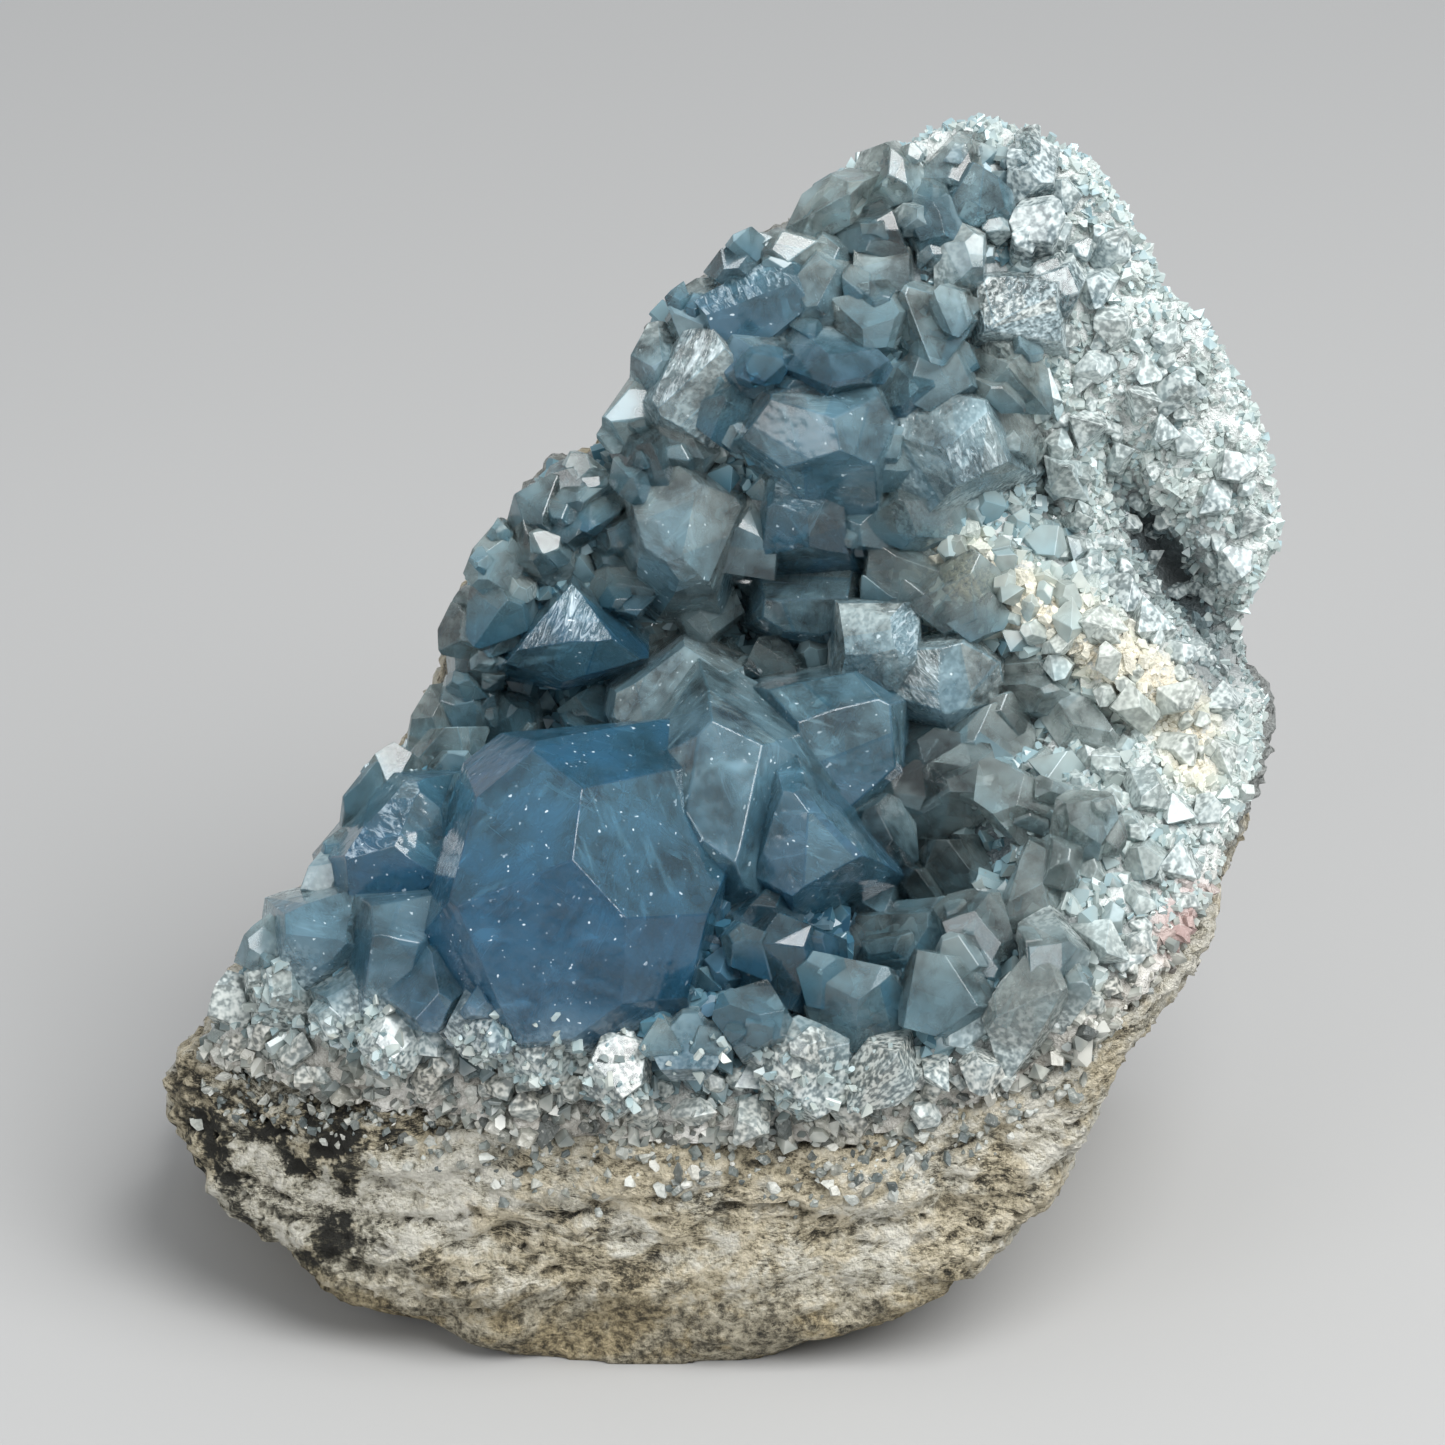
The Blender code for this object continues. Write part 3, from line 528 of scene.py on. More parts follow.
def dress_crystal(bm, edge_width, segments, tints, dice, spacing=0.0, bright=None, sinking=1.0):
    """Bevels a crystal in face coordinates, and marks its tints, worn edges, frosted faces and the crumpled faces that
    carry a painted highlight.
    """
    frost = bm.faces.layers.float.new("frost")
    worn = bm.faces.layers.float.new("worn")
    crumpled_highlight_layer = bm.faces.layers.float.new("bright")
    for face in bm.faces:
        face[frost] = dice.random()
        # Crumpled faces that get a painted highlight
        if bright and any(face.normal.dot(normal) > 0.985 for normal in bright):
            face[crumpled_highlight_layer] = 1.0
    bevelled = bmesh.ops.bevel(
        bm, geom=bm.edges[:], offset=edge_width, offset_type="OFFSET", affect="EDGES",
        segments=segments, profile=0.5, material=-1, clamp_overlap=True,
    )
    for face in bevelled["faces"]:
        face[worn] = 1.0
        face[frost] = 0.8
    if spacing:
        sliced(bm, spacing)
    grain = bm.verts.layers.float_vector.new("grain")
    layers = [bm.verts.layers.float.new(mark) for mark in MARKS]
    turned = Matrix.Rotation(dice.uniform(0.0, 3.1), 3, direction(dice.uniform(0, 360), dice.uniform(0, 60)))
    offset = Vector([dice.uniform(-500, 500) for _ in "xyz"])
    lowest, highest = min(vert.co.y for vert in bm.verts), max(vert.co.y for vert in bm.verts)
    for vert in bm.verts:
        across, up, out = vert.co
        foot = sinking * (1.0 - eased(0.5, 7.0, out - face_height(across, up)))
        grown = granular(across, up)
        tip = (up - lowest) / (highest - lowest) - 0.4
        vert[grain] = turned @ vert.co + offset
        for layer, share, *changes in zip(layers, tints, SUNK_MARKS, GRANULAR_MARKS, TIP_HIGHLIGHT_MARKS):
            change = sum(by * much for by, much in zip(changes, (foot, grown, tip)))
            vert[layer] = max(0.0, min(1.0, share + change))


class Cluster:
    """Many crystals gathered into one mesh."""

    def __init__(self, name):
        self.name = name
        self.bm = bmesh.new()

    def add(self, bm, matrix):
        bmesh.ops.transform(bm, matrix=matrix, verts=bm.verts)
        mesh = bpy.data.meshes.new("crystal")
        bm.to_mesh(mesh)
        bm.free()
        self.bm.from_mesh(mesh)
        bpy.data.meshes.remove(mesh)

    def made(self):
        return new_object(self.name, self.bm)


# Materials

class Value:
    """A number that varies over a surface. Arithmetic on it adds Math nodes."""

    def __init__(self, paint, socket):
        self.paint = paint
        self.socket = socket

    def math(self, operation, *others, clamp=False):
        terms = {n: other for n, other in enumerate((self, *others))}
        node = self.paint.node("ShaderNodeMath", {"operation": operation, "use_clamp": clamp}, terms)
        return Value(self.paint, node.outputs[0])

    def __add__(self, other):
        return self.math("ADD", other)

    def __radd__(self, other):
        return self.math("ADD", other)

    def __sub__(self, other):
        return self.math("SUBTRACT", other)

    def __rsub__(self, other):
        return (self * -1.0).math("ADD", other)

    def __mul__(self, other):
        return self.math("MULTIPLY", other)

    def __rmul__(self, other):
        return self.math("MULTIPLY", other)

    def clamped(self):
        return self.math("ADD", 0.0, clamp=True)

    def between(self, low, high):
        """Nought below low, one above high, smooth between."""
        node = self.paint.node(
            "ShaderNodeMapRange", {"interpolation_type": "SMOOTHSTEP"}, {0: self, 1: low, 2: high, 3: 0.0, 4: 1.0}
        )
        return Value(self.paint, node.outputs[0])


class Paint:
    """A material built on Blender's Principled shader."""

    def __init__(self, name):
        self.material = bpy.data.materials.new(name)
        self.material.use_nodes = True
        self.tree = self.material.node_tree
        self.shader = self.tree.nodes["Principled BSDF"]

    def node(self, kind, settings, sockets):
        node = self.tree.nodes.new(kind)
        for name, value in settings.items():
            if name == "stops":
                ramp = node.color_ramp
                while len(ramp.elements) < len(value):
                    ramp.elements.new(0.5)
                for element, (place, colour) in zip(ramp.elements, value):
                    element.position = place
                    element.color = (*colour, 1.0)
            else:
                setattr(node, name, value)
        for key, value in sockets.items():
            self.feed(node.inputs[key], value)
        return node

    def feed(self, socket, value):
        if isinstance(value, Value):
            self.tree.links.new(value.socket, socket)
        elif isinstance(value, bpy.types.NodeSocket):
            self.tree.links.new(value, socket)
        elif isinstance(value, tuple) and socket.type == "RGBA" and len(value) == 3:
            socket.default_value = (*value, 1.0)
        else:
            socket.default_value = value

    def attribute(self, name):
        node = self.node("ShaderNodeAttribute", {"attribute_name": name}, {})
        return Value(self, node.outputs["Fac"])

    def place(self, scale=(1000.0, 1000.0, 1000.0), attribute=None, turn=(0.0, 0.0, 0.0)):
        """Coordinates in millimetres: of the object, or of an attribute."""
        if attribute:
            source = self.node("ShaderNodeAttribute", {"attribute_name": attribute}, {}).outputs["Vector"]
        else:
            source = self.node("ShaderNodeTexCoord", {}, {}).outputs["Object"]
        return self.node(
            "ShaderNodeMapping", {}, {"Vector": source, "Scale": scale, "Rotation": turn}
        ).outputs["Vector"]

    def noise(self, place, scale, detail=3.0, rough=0.5, distortion=0.0, kind="FBM"):
        node = self.node(
            "ShaderNodeTexNoise", {"noise_type": kind},
            {"Vector": place, "Scale": scale, "Detail": detail, "Roughness": rough, "Distortion": distortion},
        )
        return Value(self, node.outputs[0])

    def warped(self, place, by, scale):
        """Coordinates pushed about by noise."""
        swirl = self.node(
            "ShaderNodeTexNoise", {}, {"Vector": place, "Scale": scale, "Detail": 2.0}
        ).outputs["Color"]
        centred = self.node(
            "ShaderNodeVectorMath", {"operation": "SUBTRACT"}, {0: swirl, 1: (0.5, 0.5, 0.5)}
        ).outputs[0]
        return self.node(
            "ShaderNodeVectorMath", {"operation": "MULTIPLY_ADD"}, {0: centred, 1: (by, by, by), 2: place}
        ).outputs[0]

    def ramp(self, value, stops):
        return self.node("ShaderNodeValToRGB", {"stops": stops}, {0: value}).outputs[0]

    def blend(self, share, first, second, mode="MIX"):
        node = self.node(
            "ShaderNodeMix", {"data_type": "RGBA", "blend_type": mode}, {0: share, 6: first, 7: second}
        )
        return node.outputs[2]

    def bump(self, height, distance, strength=1.0, below=None):
        sockets = {"Height": height, "Distance": distance, "Strength": strength}
        if below:
            sockets["Normal"] = below
        return self.node("ShaderNodeBump", {}, sockets).outputs["Normal"]

    def surface(self, **inputs):
        for name, value in inputs.items():
            self.feed(self.shader.inputs[name.replace("_", " ")], value)

    def absorb(self, colour, density):
        volume = self.node("ShaderNodeVolumeAbsorption", {}, {"Color": colour, "Density": density})
        self.tree.links.new(volume.outputs[0], self.tree.nodes["Material Output"].inputs["Volume"])


CLEAR_COLOURS = [
    (0.0, (0.70, 0.79, 0.77)), (0.35, (0.46, 0.66, 0.73)), (0.68, (0.20, 0.45, 0.57)), (1.0, (0.06, 0.28, 0.45)),
]
CLOUDED_COLOURS = [
    (0.0, (0.44, 0.52, 0.50)), (0.35, (0.26, 0.42, 0.47)), (0.68, (0.11, 0.26, 0.345)), (1.0, (0.045, 0.165, 0.28)),
]


def celestite_finish(name, transmission, cloudiness, absorbed=None, density=0.0, detail=1, gloss=0.08):
    """Clear blue crystal mixed with its cloudy, cracked and granular parts, darkened by painted shade in the hollows,
    with a painted highlight on crumpled faces.
    """
    paint = Paint(name)
    grain = paint.place((1.0, 1.0, 1.0), "grain")
    blue, milk, yellow = paint.attribute("blue"), paint.attribute("milk"), paint.attribute("yellow")
    deep, foot, frost = paint.attribute("deep"), paint.attribute("foot"), paint.attribute("frost")
    tone = paint.noise(grain, 0.14, 3.0, 0.62).between(0.34, 0.66)
    shade = (blue + (tone - 0.5) * 0.22 + (frost - 0.5) * 0.36).clamped()
    tint = paint.ramp(shade, CLEAR_COLOURS)
    # Painted shade: both tints darken down in the hollows, where the crystals are also made a little clearer
    tint = paint.blend(deep * 0.85, tint, (0.035, 0.11, 0.14))
    pale = paint.ramp(shade, CLOUDED_COLOURS)
    pale = paint.blend(deep * 0.8, pale, (0.045, 0.105, 0.125))
    pale = paint.blend((milk * tone).clamped() * 0.8, pale, (0.58, 0.64, 0.61))
    cloudy = cloudiness + (tone - 0.5) * 0.3 + (frost - 0.5) * 0.15 + milk * (tone * 0.7 - 0.1)
    rough = frost * 0.14
    if detail:
        dot = paint.noise(grain, 1.5, 1.0).between(0.3, 0.7)
        sugar = (milk + foot * 0.7).between(0.22, 0.8)
        grains = paint.ramp(dot, [
            (0.0, (0.20, 0.24, 0.25)), (0.5, (0.42, 0.47, 0.47)), (1.0, (0.74, 0.78, 0.76))])
        pale = paint.blend(sugar * 0.6, pale, grains)
        earth = paint.ramp(dot, [
            (0.0, (0.09, 0.088, 0.075)), (0.5, (0.26, 0.25, 0.21)), (1.0, (0.56, 0.54, 0.48))])
        pale = paint.blend(foot * (1.0 - tone * 0.7) * 0.9, pale, earth)
        cloudy = cloudy + sugar * (dot * 0.5) + foot * (0.6 - tone * 0.5)
        rough = rough + sugar * dot * 0.2
    else:
        earth = paint.ramp(tone, [
            (0.0, (0.09, 0.088, 0.075)), (0.5, (0.26, 0.25, 0.21)), (1.0, (0.56, 0.54, 0.48))])
        pale = paint.blend(foot * 0.8, pale, earth)
        cloudy = cloudy + foot * (0.5 - tone * 0.4)
    pale = paint.blend(yellow * 0.7, pale, (0.76, 0.70, 0.54))
    cloudy = cloudy + yellow * 0.5 - deep * 0.1
    if detail > 1:
        bright = paint.attribute("bright")
        sheets = paint.noise(paint.place((0.12, 0.16, 0.9), "grain"), 1.0, 3.0, 0.6, 0.4)
        creases = paint.noise(paint.place((0.3, 1.3, 0.5), "grain"), 1.0, 3.0, 0.7, 1.2)
        waves = paint.noise(grain, 0.28, 2.0, 0.55)
        specks = paint.noise(grain, 1.3, 1.0).between(0.70, 0.76) * tone
        facet = (frost - 0.5).between(-0.45, 0.45)
        tint = paint.blend(facet * 0.45, tint, (0.62, 0.74, 0.78), "MULTIPLY")
        # Painted highlight: whitish wrinkles on the crumpled faces; their bump is real relief
        marks = specks + bright * creases.between(0.44, 0.66) * 0.6
        pale = paint.blend(facet * 0.6, pale, (0.55, 0.68, 0.75), "MULTIPLY")
        pale = paint.blend(marks.clamped() * 0.75, pale, (0.74, 0.82, 0.86))
        cloudy = cloudy + sheets.between(0.54, 0.74) * 0.3 + marks * 0.7
        height = tone * 0.05 + dot * sugar * 0.2 + waves * 0.14 + creases * bright * 0.5
    paint.surface(
        Base_Color=tint, Roughness=(rough + gloss).clamped(), IOR=1.62, Transmission_Weight=transmission
    )
    milky = paint.node(
        "ShaderNodeBsdfPrincipled", {},
        {"Base Color": pale, "Roughness": (rough + gloss + 0.12).clamped(), "IOR": 1.62},
    )
    if detail > 1:
        normal = paint.bump(height, 0.001)
        for shader in (paint.shader, milky):
            paint.feed(shader.inputs["Normal"], normal)
    mixed = paint.node(
        "ShaderNodeMixShader", {},
        {0: cloudy.clamped(), 1: paint.shader.outputs["BSDF"], 2: milky.outputs["BSDF"]},
    )
    paint.feed(paint.tree.nodes["Material Output"].inputs["Surface"], mixed.outputs[0])
    if density:
        paint.absorb(absorbed, density)
    return paint.material


def rubble_finish():
    """White, grey and beige broken lumps, sugary with whitish flecks painted on as highlights, and darkened by painted
    shade in the hollows.
    """
    paint = Paint("celestite_rubble")
    grain = paint.place((1.0, 1.0, 1.0), "grain")
    blue, milk, yellow = paint.attribute("blue"), paint.attribute("milk"), paint.attribute("yellow")
    deep, foot, frost = paint.attribute("deep"), paint.attribute("foot"), paint.attribute("frost")
    pink = paint.attribute("pink")
    tone = paint.noise(grain, 0.06, 1.0, 0.5).between(0.34, 0.66)
    fleck = paint.noise(grain, 1.1, 3.0, 0.65)
    shade = (0.1 + blue * 0.4 - milk * 0.1 + (tone - 0.5) * 0.3 + (frost - 0.5) * 0.2).clamped()
    colour = paint.ramp(shade, CLOUDED_COLOURS)
    colour = paint.blend((milk * (tone * 0.8 + 0.1)).clamped(), colour, (0.58, 0.61, 0.58))
    beige = paint.ramp(tone + (fleck - 0.5) * 0.6, [
        (0.05, (0.05, 0.05, 0.043)), (0.35, (0.17, 0.165, 0.135)), (0.6, (0.36, 0.345, 0.29)), (0.95, (0.68, 0.66, 0.59))])
    colour = paint.blend(foot * 0.92, colour, beige)
    colour = paint.blend(pink * 0.85, colour, (0.40, 0.27, 0.25))
    # Painted shade down in the hollows
    colour = paint.blend(deep * 0.85, colour, (0.045, 0.09, 0.11))
    colour = paint.blend(yellow * 0.85, colour, (0.78, 0.73, 0.60))
    # Painted highlights: whitish flecks
    colour = paint.blend(fleck.between(0.56, 0.68) * 0.35, colour, (0.78, 0.78, 0.73))
    paint.surface(
        Base_Color=colour, Roughness=0.35 + fleck * 0.4, Normal=paint.bump(fleck, 0.0005), IOR=1.6
    )
    return paint.material


def veil_finish():
    """Whitish sheets of healed fractures, seen inside the large crystals."""
    paint = Paint("celestite_veil")
    place = paint.place()
    patches = paint.noise(place, 0.16, 4.0, 0.65, 1.0)
    alpha = patches.between(0.46, 0.66) * 0.7
    paint.surface(Base_Color=(0.58, 0.72, 0.82), Roughness=0.4, Alpha=alpha.clamped())
    return paint.material


def great_finish():
    return celestite_finish("celestite_great", 0.94, 0.2, (0.26, 0.68, 0.88), 19.0, 2, 0.05)


def blocky_finish():
    return celestite_finish("celestite_blocky", 0.95, 0.2, gloss=0.05)


def small_finish():
    return celestite_finish("celestite_small", 0.88, 0.46, gloss=0.05)


def fine_finish():
    return celestite_finish("celestite_fine", 0.6, 0.66, detail=0, gloss=0.05)


def crust_finish():
    """Granular crystal ground: white, grey and brown grains, stained yellow along the ridge, and darkened by painted
    shade down in the hollows.
    """
    paint = Paint("celestite_ground")
    place = paint.place()
    blue, milk = paint.attribute("blue"), paint.attribute("milk")
    yellow, pink, foot = paint.attribute("yellow"), paint.attribute("pink"), paint.attribute("foot")
    deep = paint.attribute("deep")
    patches = paint.noise(place, 0.16, 3.0, 0.65)
    grit = paint.noise(place, 0.9, 3.0, 0.7)
    # Painted shade lowers the ground's brightness down in the hollows
    shade = (patches * 0.7 + grit * 0.35 + milk * 0.26 - deep * 0.2 - 0.08).clamped()
    colour = paint.ramp(shade, [
        (0.32, (0.10, 0.125, 0.13)), (0.44, (0.30, 0.34, 0.34)), (0.55, (0.56, 0.60, 0.59)),
        (0.70, (0.70, 0.74, 0.72))])
    earth = paint.ramp(shade, [
        (0.36, (0.10, 0.095, 0.08)), (0.50, (0.30, 0.28, 0.24)), (0.60, (0.50, 0.485, 0.44)),
        (0.74, (0.76, 0.75, 0.71))])
    colour = paint.blend(foot, colour, earth)
    colour = paint.blend((blue * 0.9 - milk * 0.4 - foot * 0.5).clamped(), colour, (0.06, 0.12, 0.17))
    # Painted shade down in the hollows
    colour = paint.blend(deep * 0.85, colour, (0.025, 0.04, 0.045))
    colour = paint.blend(yellow * grit.between(0.3, 0.6) * 0.9, colour, (0.74, 0.66, 0.50))
    colour = paint.blend(pink * 0.55, colour, (0.50, 0.30, 0.28))
    normal = paint.bump(patches + grit * 0.9, 0.001)
    paint.surface(Base_Color=colour, Roughness=0.35 + grit * 0.4, Normal=normal, IOR=1.6)
    return paint.material


def rock_finish():
    """Layered limestone: cream ledges, tan weathering and black stains, with painted light on its crests and painted
    shade in its crevices and on its left side.
    """
    paint = Paint("host_rock_weathered")
    place = paint.place()
    crest, near = paint.attribute("crest"), paint.attribute("near")
    bent = paint.warped(place, 12.0, 0.04)
    layered = paint.node(
        "ShaderNodeMapping", {}, {"Vector": bent, "Scale": (0.10, 0.10, 0.42), "Rotation": (0.0, -0.2, 0.0)}
    ).outputs["Vector"]
    beds = paint.noise(layered, 1.0, 5.0, 0.75)
    patches = paint.noise(bent, 0.09, 4.0, 0.72)
    crumbs = paint.noise(place, 0.28, 3.0, 0.75)
    grit = paint.noise(place, 1.0, 4.0, 0.8)
    # Painted shade: thin dark crevice lines along the beds
    painted_crevice_lines = 1.0 - (beds - 0.5).math("ABSOLUTE").between(0.004, 0.035)
    corner = paint.node("ShaderNodeSeparateXYZ", {}, {0: place})
    across, height = Value(paint, corner.outputs[0]), Value(paint, corner.outputs[2])
    band = 1.0 - (height + (crumbs - 0.5) * 14.0).between(6.0, 15.0)
    # Painted shade on the left side of the rock
    left_shade = (across * -1.0).between(12.0, 46.0)
    aside, above = (across + 49.0) * 0.075, (height - 19.0) * 0.09
    spot = 1.0 - (aside * aside + above * above + (patches - 0.5) * 3.0).between(0.0, 1.8)
    stain = spot * (1.0 - patches.between(0.44, 0.62)) * (1.0 - crumbs.between(0.48, 0.60) * 0.7)
    rough_shade = (
        # Lighter on the crests and darker in the hollows of the relief: painted light and shade
        beds * 0.75 + crumbs * 0.7 + grit * 0.95 + (crest - 0.5) * 0.5 + patches * 0.5
        # Painted shade: darker in thin crevice lines and on the left side; the stain is real
        - painted_crevice_lines * 0.18 - stain * 0.5 - left_shade * 0.03 - 0.814
    )
    smooth_shade = grit * 1.1 + crumbs * 0.5 - 0.34
    shade = (rough_shade * (1.0 - band) + smooth_shade * band).clamped()
    colour = paint.ramp(shade, [
        (0.20, (0.03, 0.03, 0.024)), (0.33, (0.15, 0.14, 0.105)), (0.43, (0.38, 0.355, 0.275)),
        (0.54, (0.71, 0.67, 0.54)), (0.72, (0.96, 0.93, 0.81))])
    tan = patches.between(0.44, 0.56) * -0.6 + 0.6 + band * 0.4
    colour = paint.blend(tan.clamped(), colour, (0.86, 0.75, 0.56), "MULTIPLY")
    colour = paint.blend(stain.clamped() * 0.6, colour, (0.55, 0.60, 0.60), "MULTIPLY")
    colour = paint.blend(near * 0.85, colour, paint.ramp(grit, [(0.3, (0.10, 0.13, 0.14)), (0.7, (0.62, 0.66, 0.66))]))
    normal = paint.bump(crumbs * 2.0 + grit, 0.003)
    paint.surface(Base_Color=colour, Roughness=0.85 + grit * 0.12, Normal=normal)
    return paint.material


def floor_finish(colour):
    paint = Paint("studio_floor")
    paint.surface(Base_Color=tuple(colour), Roughness=0.9)
    return paint.material


# Shapes

def rough_offset(point, size):
    """The lumps and layers that the solid's surface has too, as a share of their height."""
    at = point / (size * MM)
    lumps = noise.fractal(at, 0.8, 2.1, 4)
    layers = noise.noise(Vector((at.x * 0.35, at.y * 0.35, at.z * 2.6)))
    return lumps + 0.45 * layers


def ground_point(across, up):
    """A point of the crystal ground, rough as the solid's is."""
    here = FACE @ Vector((across, up, face_height(across, up)))
    return here + OUTWARD * rough_offset(here, 13.0) * ROCK_LUMPS * MM


def rock_skin(settings):
    """The host rock with beds, crumbs and pits."""
    bm = bmesh.new()
    bm.from_mesh(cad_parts["host_rock"].data)
    bmesh.ops.remove_doubles(bm, verts=bm.verts, dist=0.000001)
    obj = new_object("host_rock_skin", bm)
    skin = obj.modifiers.new("skin", "REMESH")
    skin.mode = "VOXEL"
    skin.voxel_size = settings.rock_grain * MM
    smooth = obj.modifiers.new("smooth", "SMOOTH")
    smooth.factor = 0.5
    smooth.iterations = 7
    apply_modifiers(obj)
    mesh = obj.data
    low, high = Vector(CAD_BOX[0]), Vector(CAD_BOX[1])
    normals = [Vector(normal.vector) for normal in mesh.vertex_normals]
    crest_shadings, nears = [], []
    back = FACE.inverted()
    for vert, normal in zip(mesh.vertices, normals):
        at = vert.co / MM
        flat = back @ vert.co
        under = face_height(flat.x, flat.y) - flat.z
        nears.append(eased(52.0, 66.0, flat.y) * (1.0 - eased(8.0, 15.0, under)))
        height = rock_relief(at)
        # Relief height kept for painted light on the crests and painted shade in the hollows
        crest_shadings.append(max(0.0, min(1.0, 0.5 + 0.45 * height)))
        if at.z < 0.4:
            vert.co.z = 0.0
            continue
        vert.co += normal * height * settings.rock_roughness * MM * eased(0.4, 4.0, at.z)
        for axis in range(3):
            vert.co[axis] = min(max(vert.co[axis], low[axis]), high[axis])
    for mark, values in (("crest", crest_shadings), ("near", nears)):
        layer = mesh.attributes.new(mark, "FLOAT", "POINT")
        layer.data.foreach_set("value", values)
    return obj


def rock_relief(at):
    """Height of the rock's ledges, crumbs and crevices at a place, in millimetres."""
    bend = 4.0 * noise.noise(at * 0.03) + 1.5 * noise.noise(at * 0.1)
    level = at.z + bend - 0.12 * at.x
    bed = Vector((at.x * 0.05, at.y * 0.05, level * 0.34))
    ledge = noise.fractal(bed, 0.75, 2.1, 4)
    sharp = abs(noise.noise(Vector((at.x * 0.035, at.y * 0.035, level * 0.24 + 9.0))))
    crumb = noise.fractal(at * 0.3, 0.65, 2.2, 5)
    worn_smooth = 1.0 - 0.6 * (1.0 - eased(5.0, 16.0, at.z + 3.0 * bend))
    crevice = -1.3 * (1.0 - eased(0.0, 0.07, sharp)) * eased(-0.3, 0.3, crumb)
    terrace = level * 0.42 + 0.8 * noise.noise(at * 0.07)
    shelf = abs(2.0 * (terrace - math.floor(terrace)) - 1.0) ** 0.6 - 0.5
    return (0.75 * ledge + 0.6 * crumb + 0.5 * shelf + crevice) * worn_smooth


def crust_ground(settings):
    """The granular ground between the crystals, with its broken rim."""
    step = settings.ground_step
    span_across, span_up = 136.0, 130.0
    base_up = 20.0
    bm = bmesh.new()
    bmesh.ops.create_grid(
        bm, x_segments=round(span_across / step), y_segments=round(span_up / step), size=0.5
    )
    for vert in bm.verts:
        vert.co = (vert.co.x * span_across, vert.co.y * span_up + base_up + 0.5 * span_up, 0.0)
    outside = [
        vert for vert in bm.verts
        if from_edge(vert.co.x, vert.co.y) < 0.9 or vert.co.y < rock_line(vert.co.x) + 0.5
    ]
    bmesh.ops.delete(bm, geom=outside, context="VERTS")
    for _ in range(3):
        rim = [vert for vert in bm.verts if vert.is_boundary]
        bmesh.ops.smooth_vert(bm, verts=rim, factor=0.5, use_axis_x=True, use_axis_y=True)
    places = {}
    made = bmesh.ops.extrude_face_region(bm, geom=bm.faces[:], use_keep_orig=True)["geom"]
    top = [item for item in made if isinstance(item, bmesh.types.BMVert)]
    top_set = set(top)
    under = [vert for vert in bm.verts if vert not in top_set]
    for vert in under:
        across, up = vert.co.x, vert.co.y
        depth = max(0.25, crust_depth(across, up) - SEAM_GAP - 0.15)
        vert.co = FACE @ Vector((across, up, face_height(across, up) - depth))
    for vert in top:
        across, up = vert.co.x, vert.co.y
        places[vert] = (across, up)
        here = ground_point(across, up)
        at = here / MM
        grit = noise.fractal(at * 0.4, 0.75, 2.1, 4)
        rim = eased(0.0, 3.0, from_edge(across, up))
        vert.co = here + OUTWARD * (0.9 * grit - 1.2 * (1.0 - rim)) * MM
    walls = [
        edge for edge in bm.edges
        if (edge.verts[0] in top_set) != (edge.verts[1] in top_set)
    ]
    bmesh.ops.subdivide_edges(bm, edges=walls, cuts=5, use_grid_fill=True)
    bmesh.ops.recalc_face_normals(bm, faces=bm.faces)
    bm.normal_update()
    kept = set(under) | top_set
    wall_verts = [vert for vert in bm.verts if vert not in kept]
    for vert in wall_verts:
        at = vert.co / MM
        push = noise.fractal(at * 0.3, 0.8, 2.2, 4) * 0.9 + 0.1
        vert.co += vert.normal * push * MM
    layers = [bm.verts.layers.float.new(mark) for mark in MARKS]
    back = FACE.inverted()
    for vert in bm.verts:
        flat = back @ vert.co
        for layer, measure in zip(layers, (blueness, milkiness, yellowness, clear_and_shaded_at, footness, pinkness)):
            vert[layer] = measure(flat.x, flat.y)
    return new_object("crystal_ground", bm)


def veil(bm, centre, normal):
    """A thin plane inside a convex crystal, a little short of its faces, or nothing."""
    cut_bm = bm.copy()
    cut = bmesh.ops.bisect_plane(
        cut_bm, geom=cut_bm.verts[:] + cut_bm.edges[:] + cut_bm.faces[:], plane_co=centre,
        plane_no=normal, clear_outer=True, clear_inner=True,
    )
    rim = [item for item in cut["geom_cut"] if isinstance(item, bmesh.types.BMEdge)]
    if len(rim) < 3:
        cut_bm.free()
        return None
    bmesh.ops.edgeloop_fill(cut_bm, edges=rim)
    middle = sum((vert.co for vert in cut_bm.verts), Vector()) / len(cut_bm.verts)
    bmesh.ops.scale(cut_bm, vec=(0.93, 0.93, 0.93), space=Matrix.Translation(-middle), verts=cut_bm.verts)
    return cut_bm


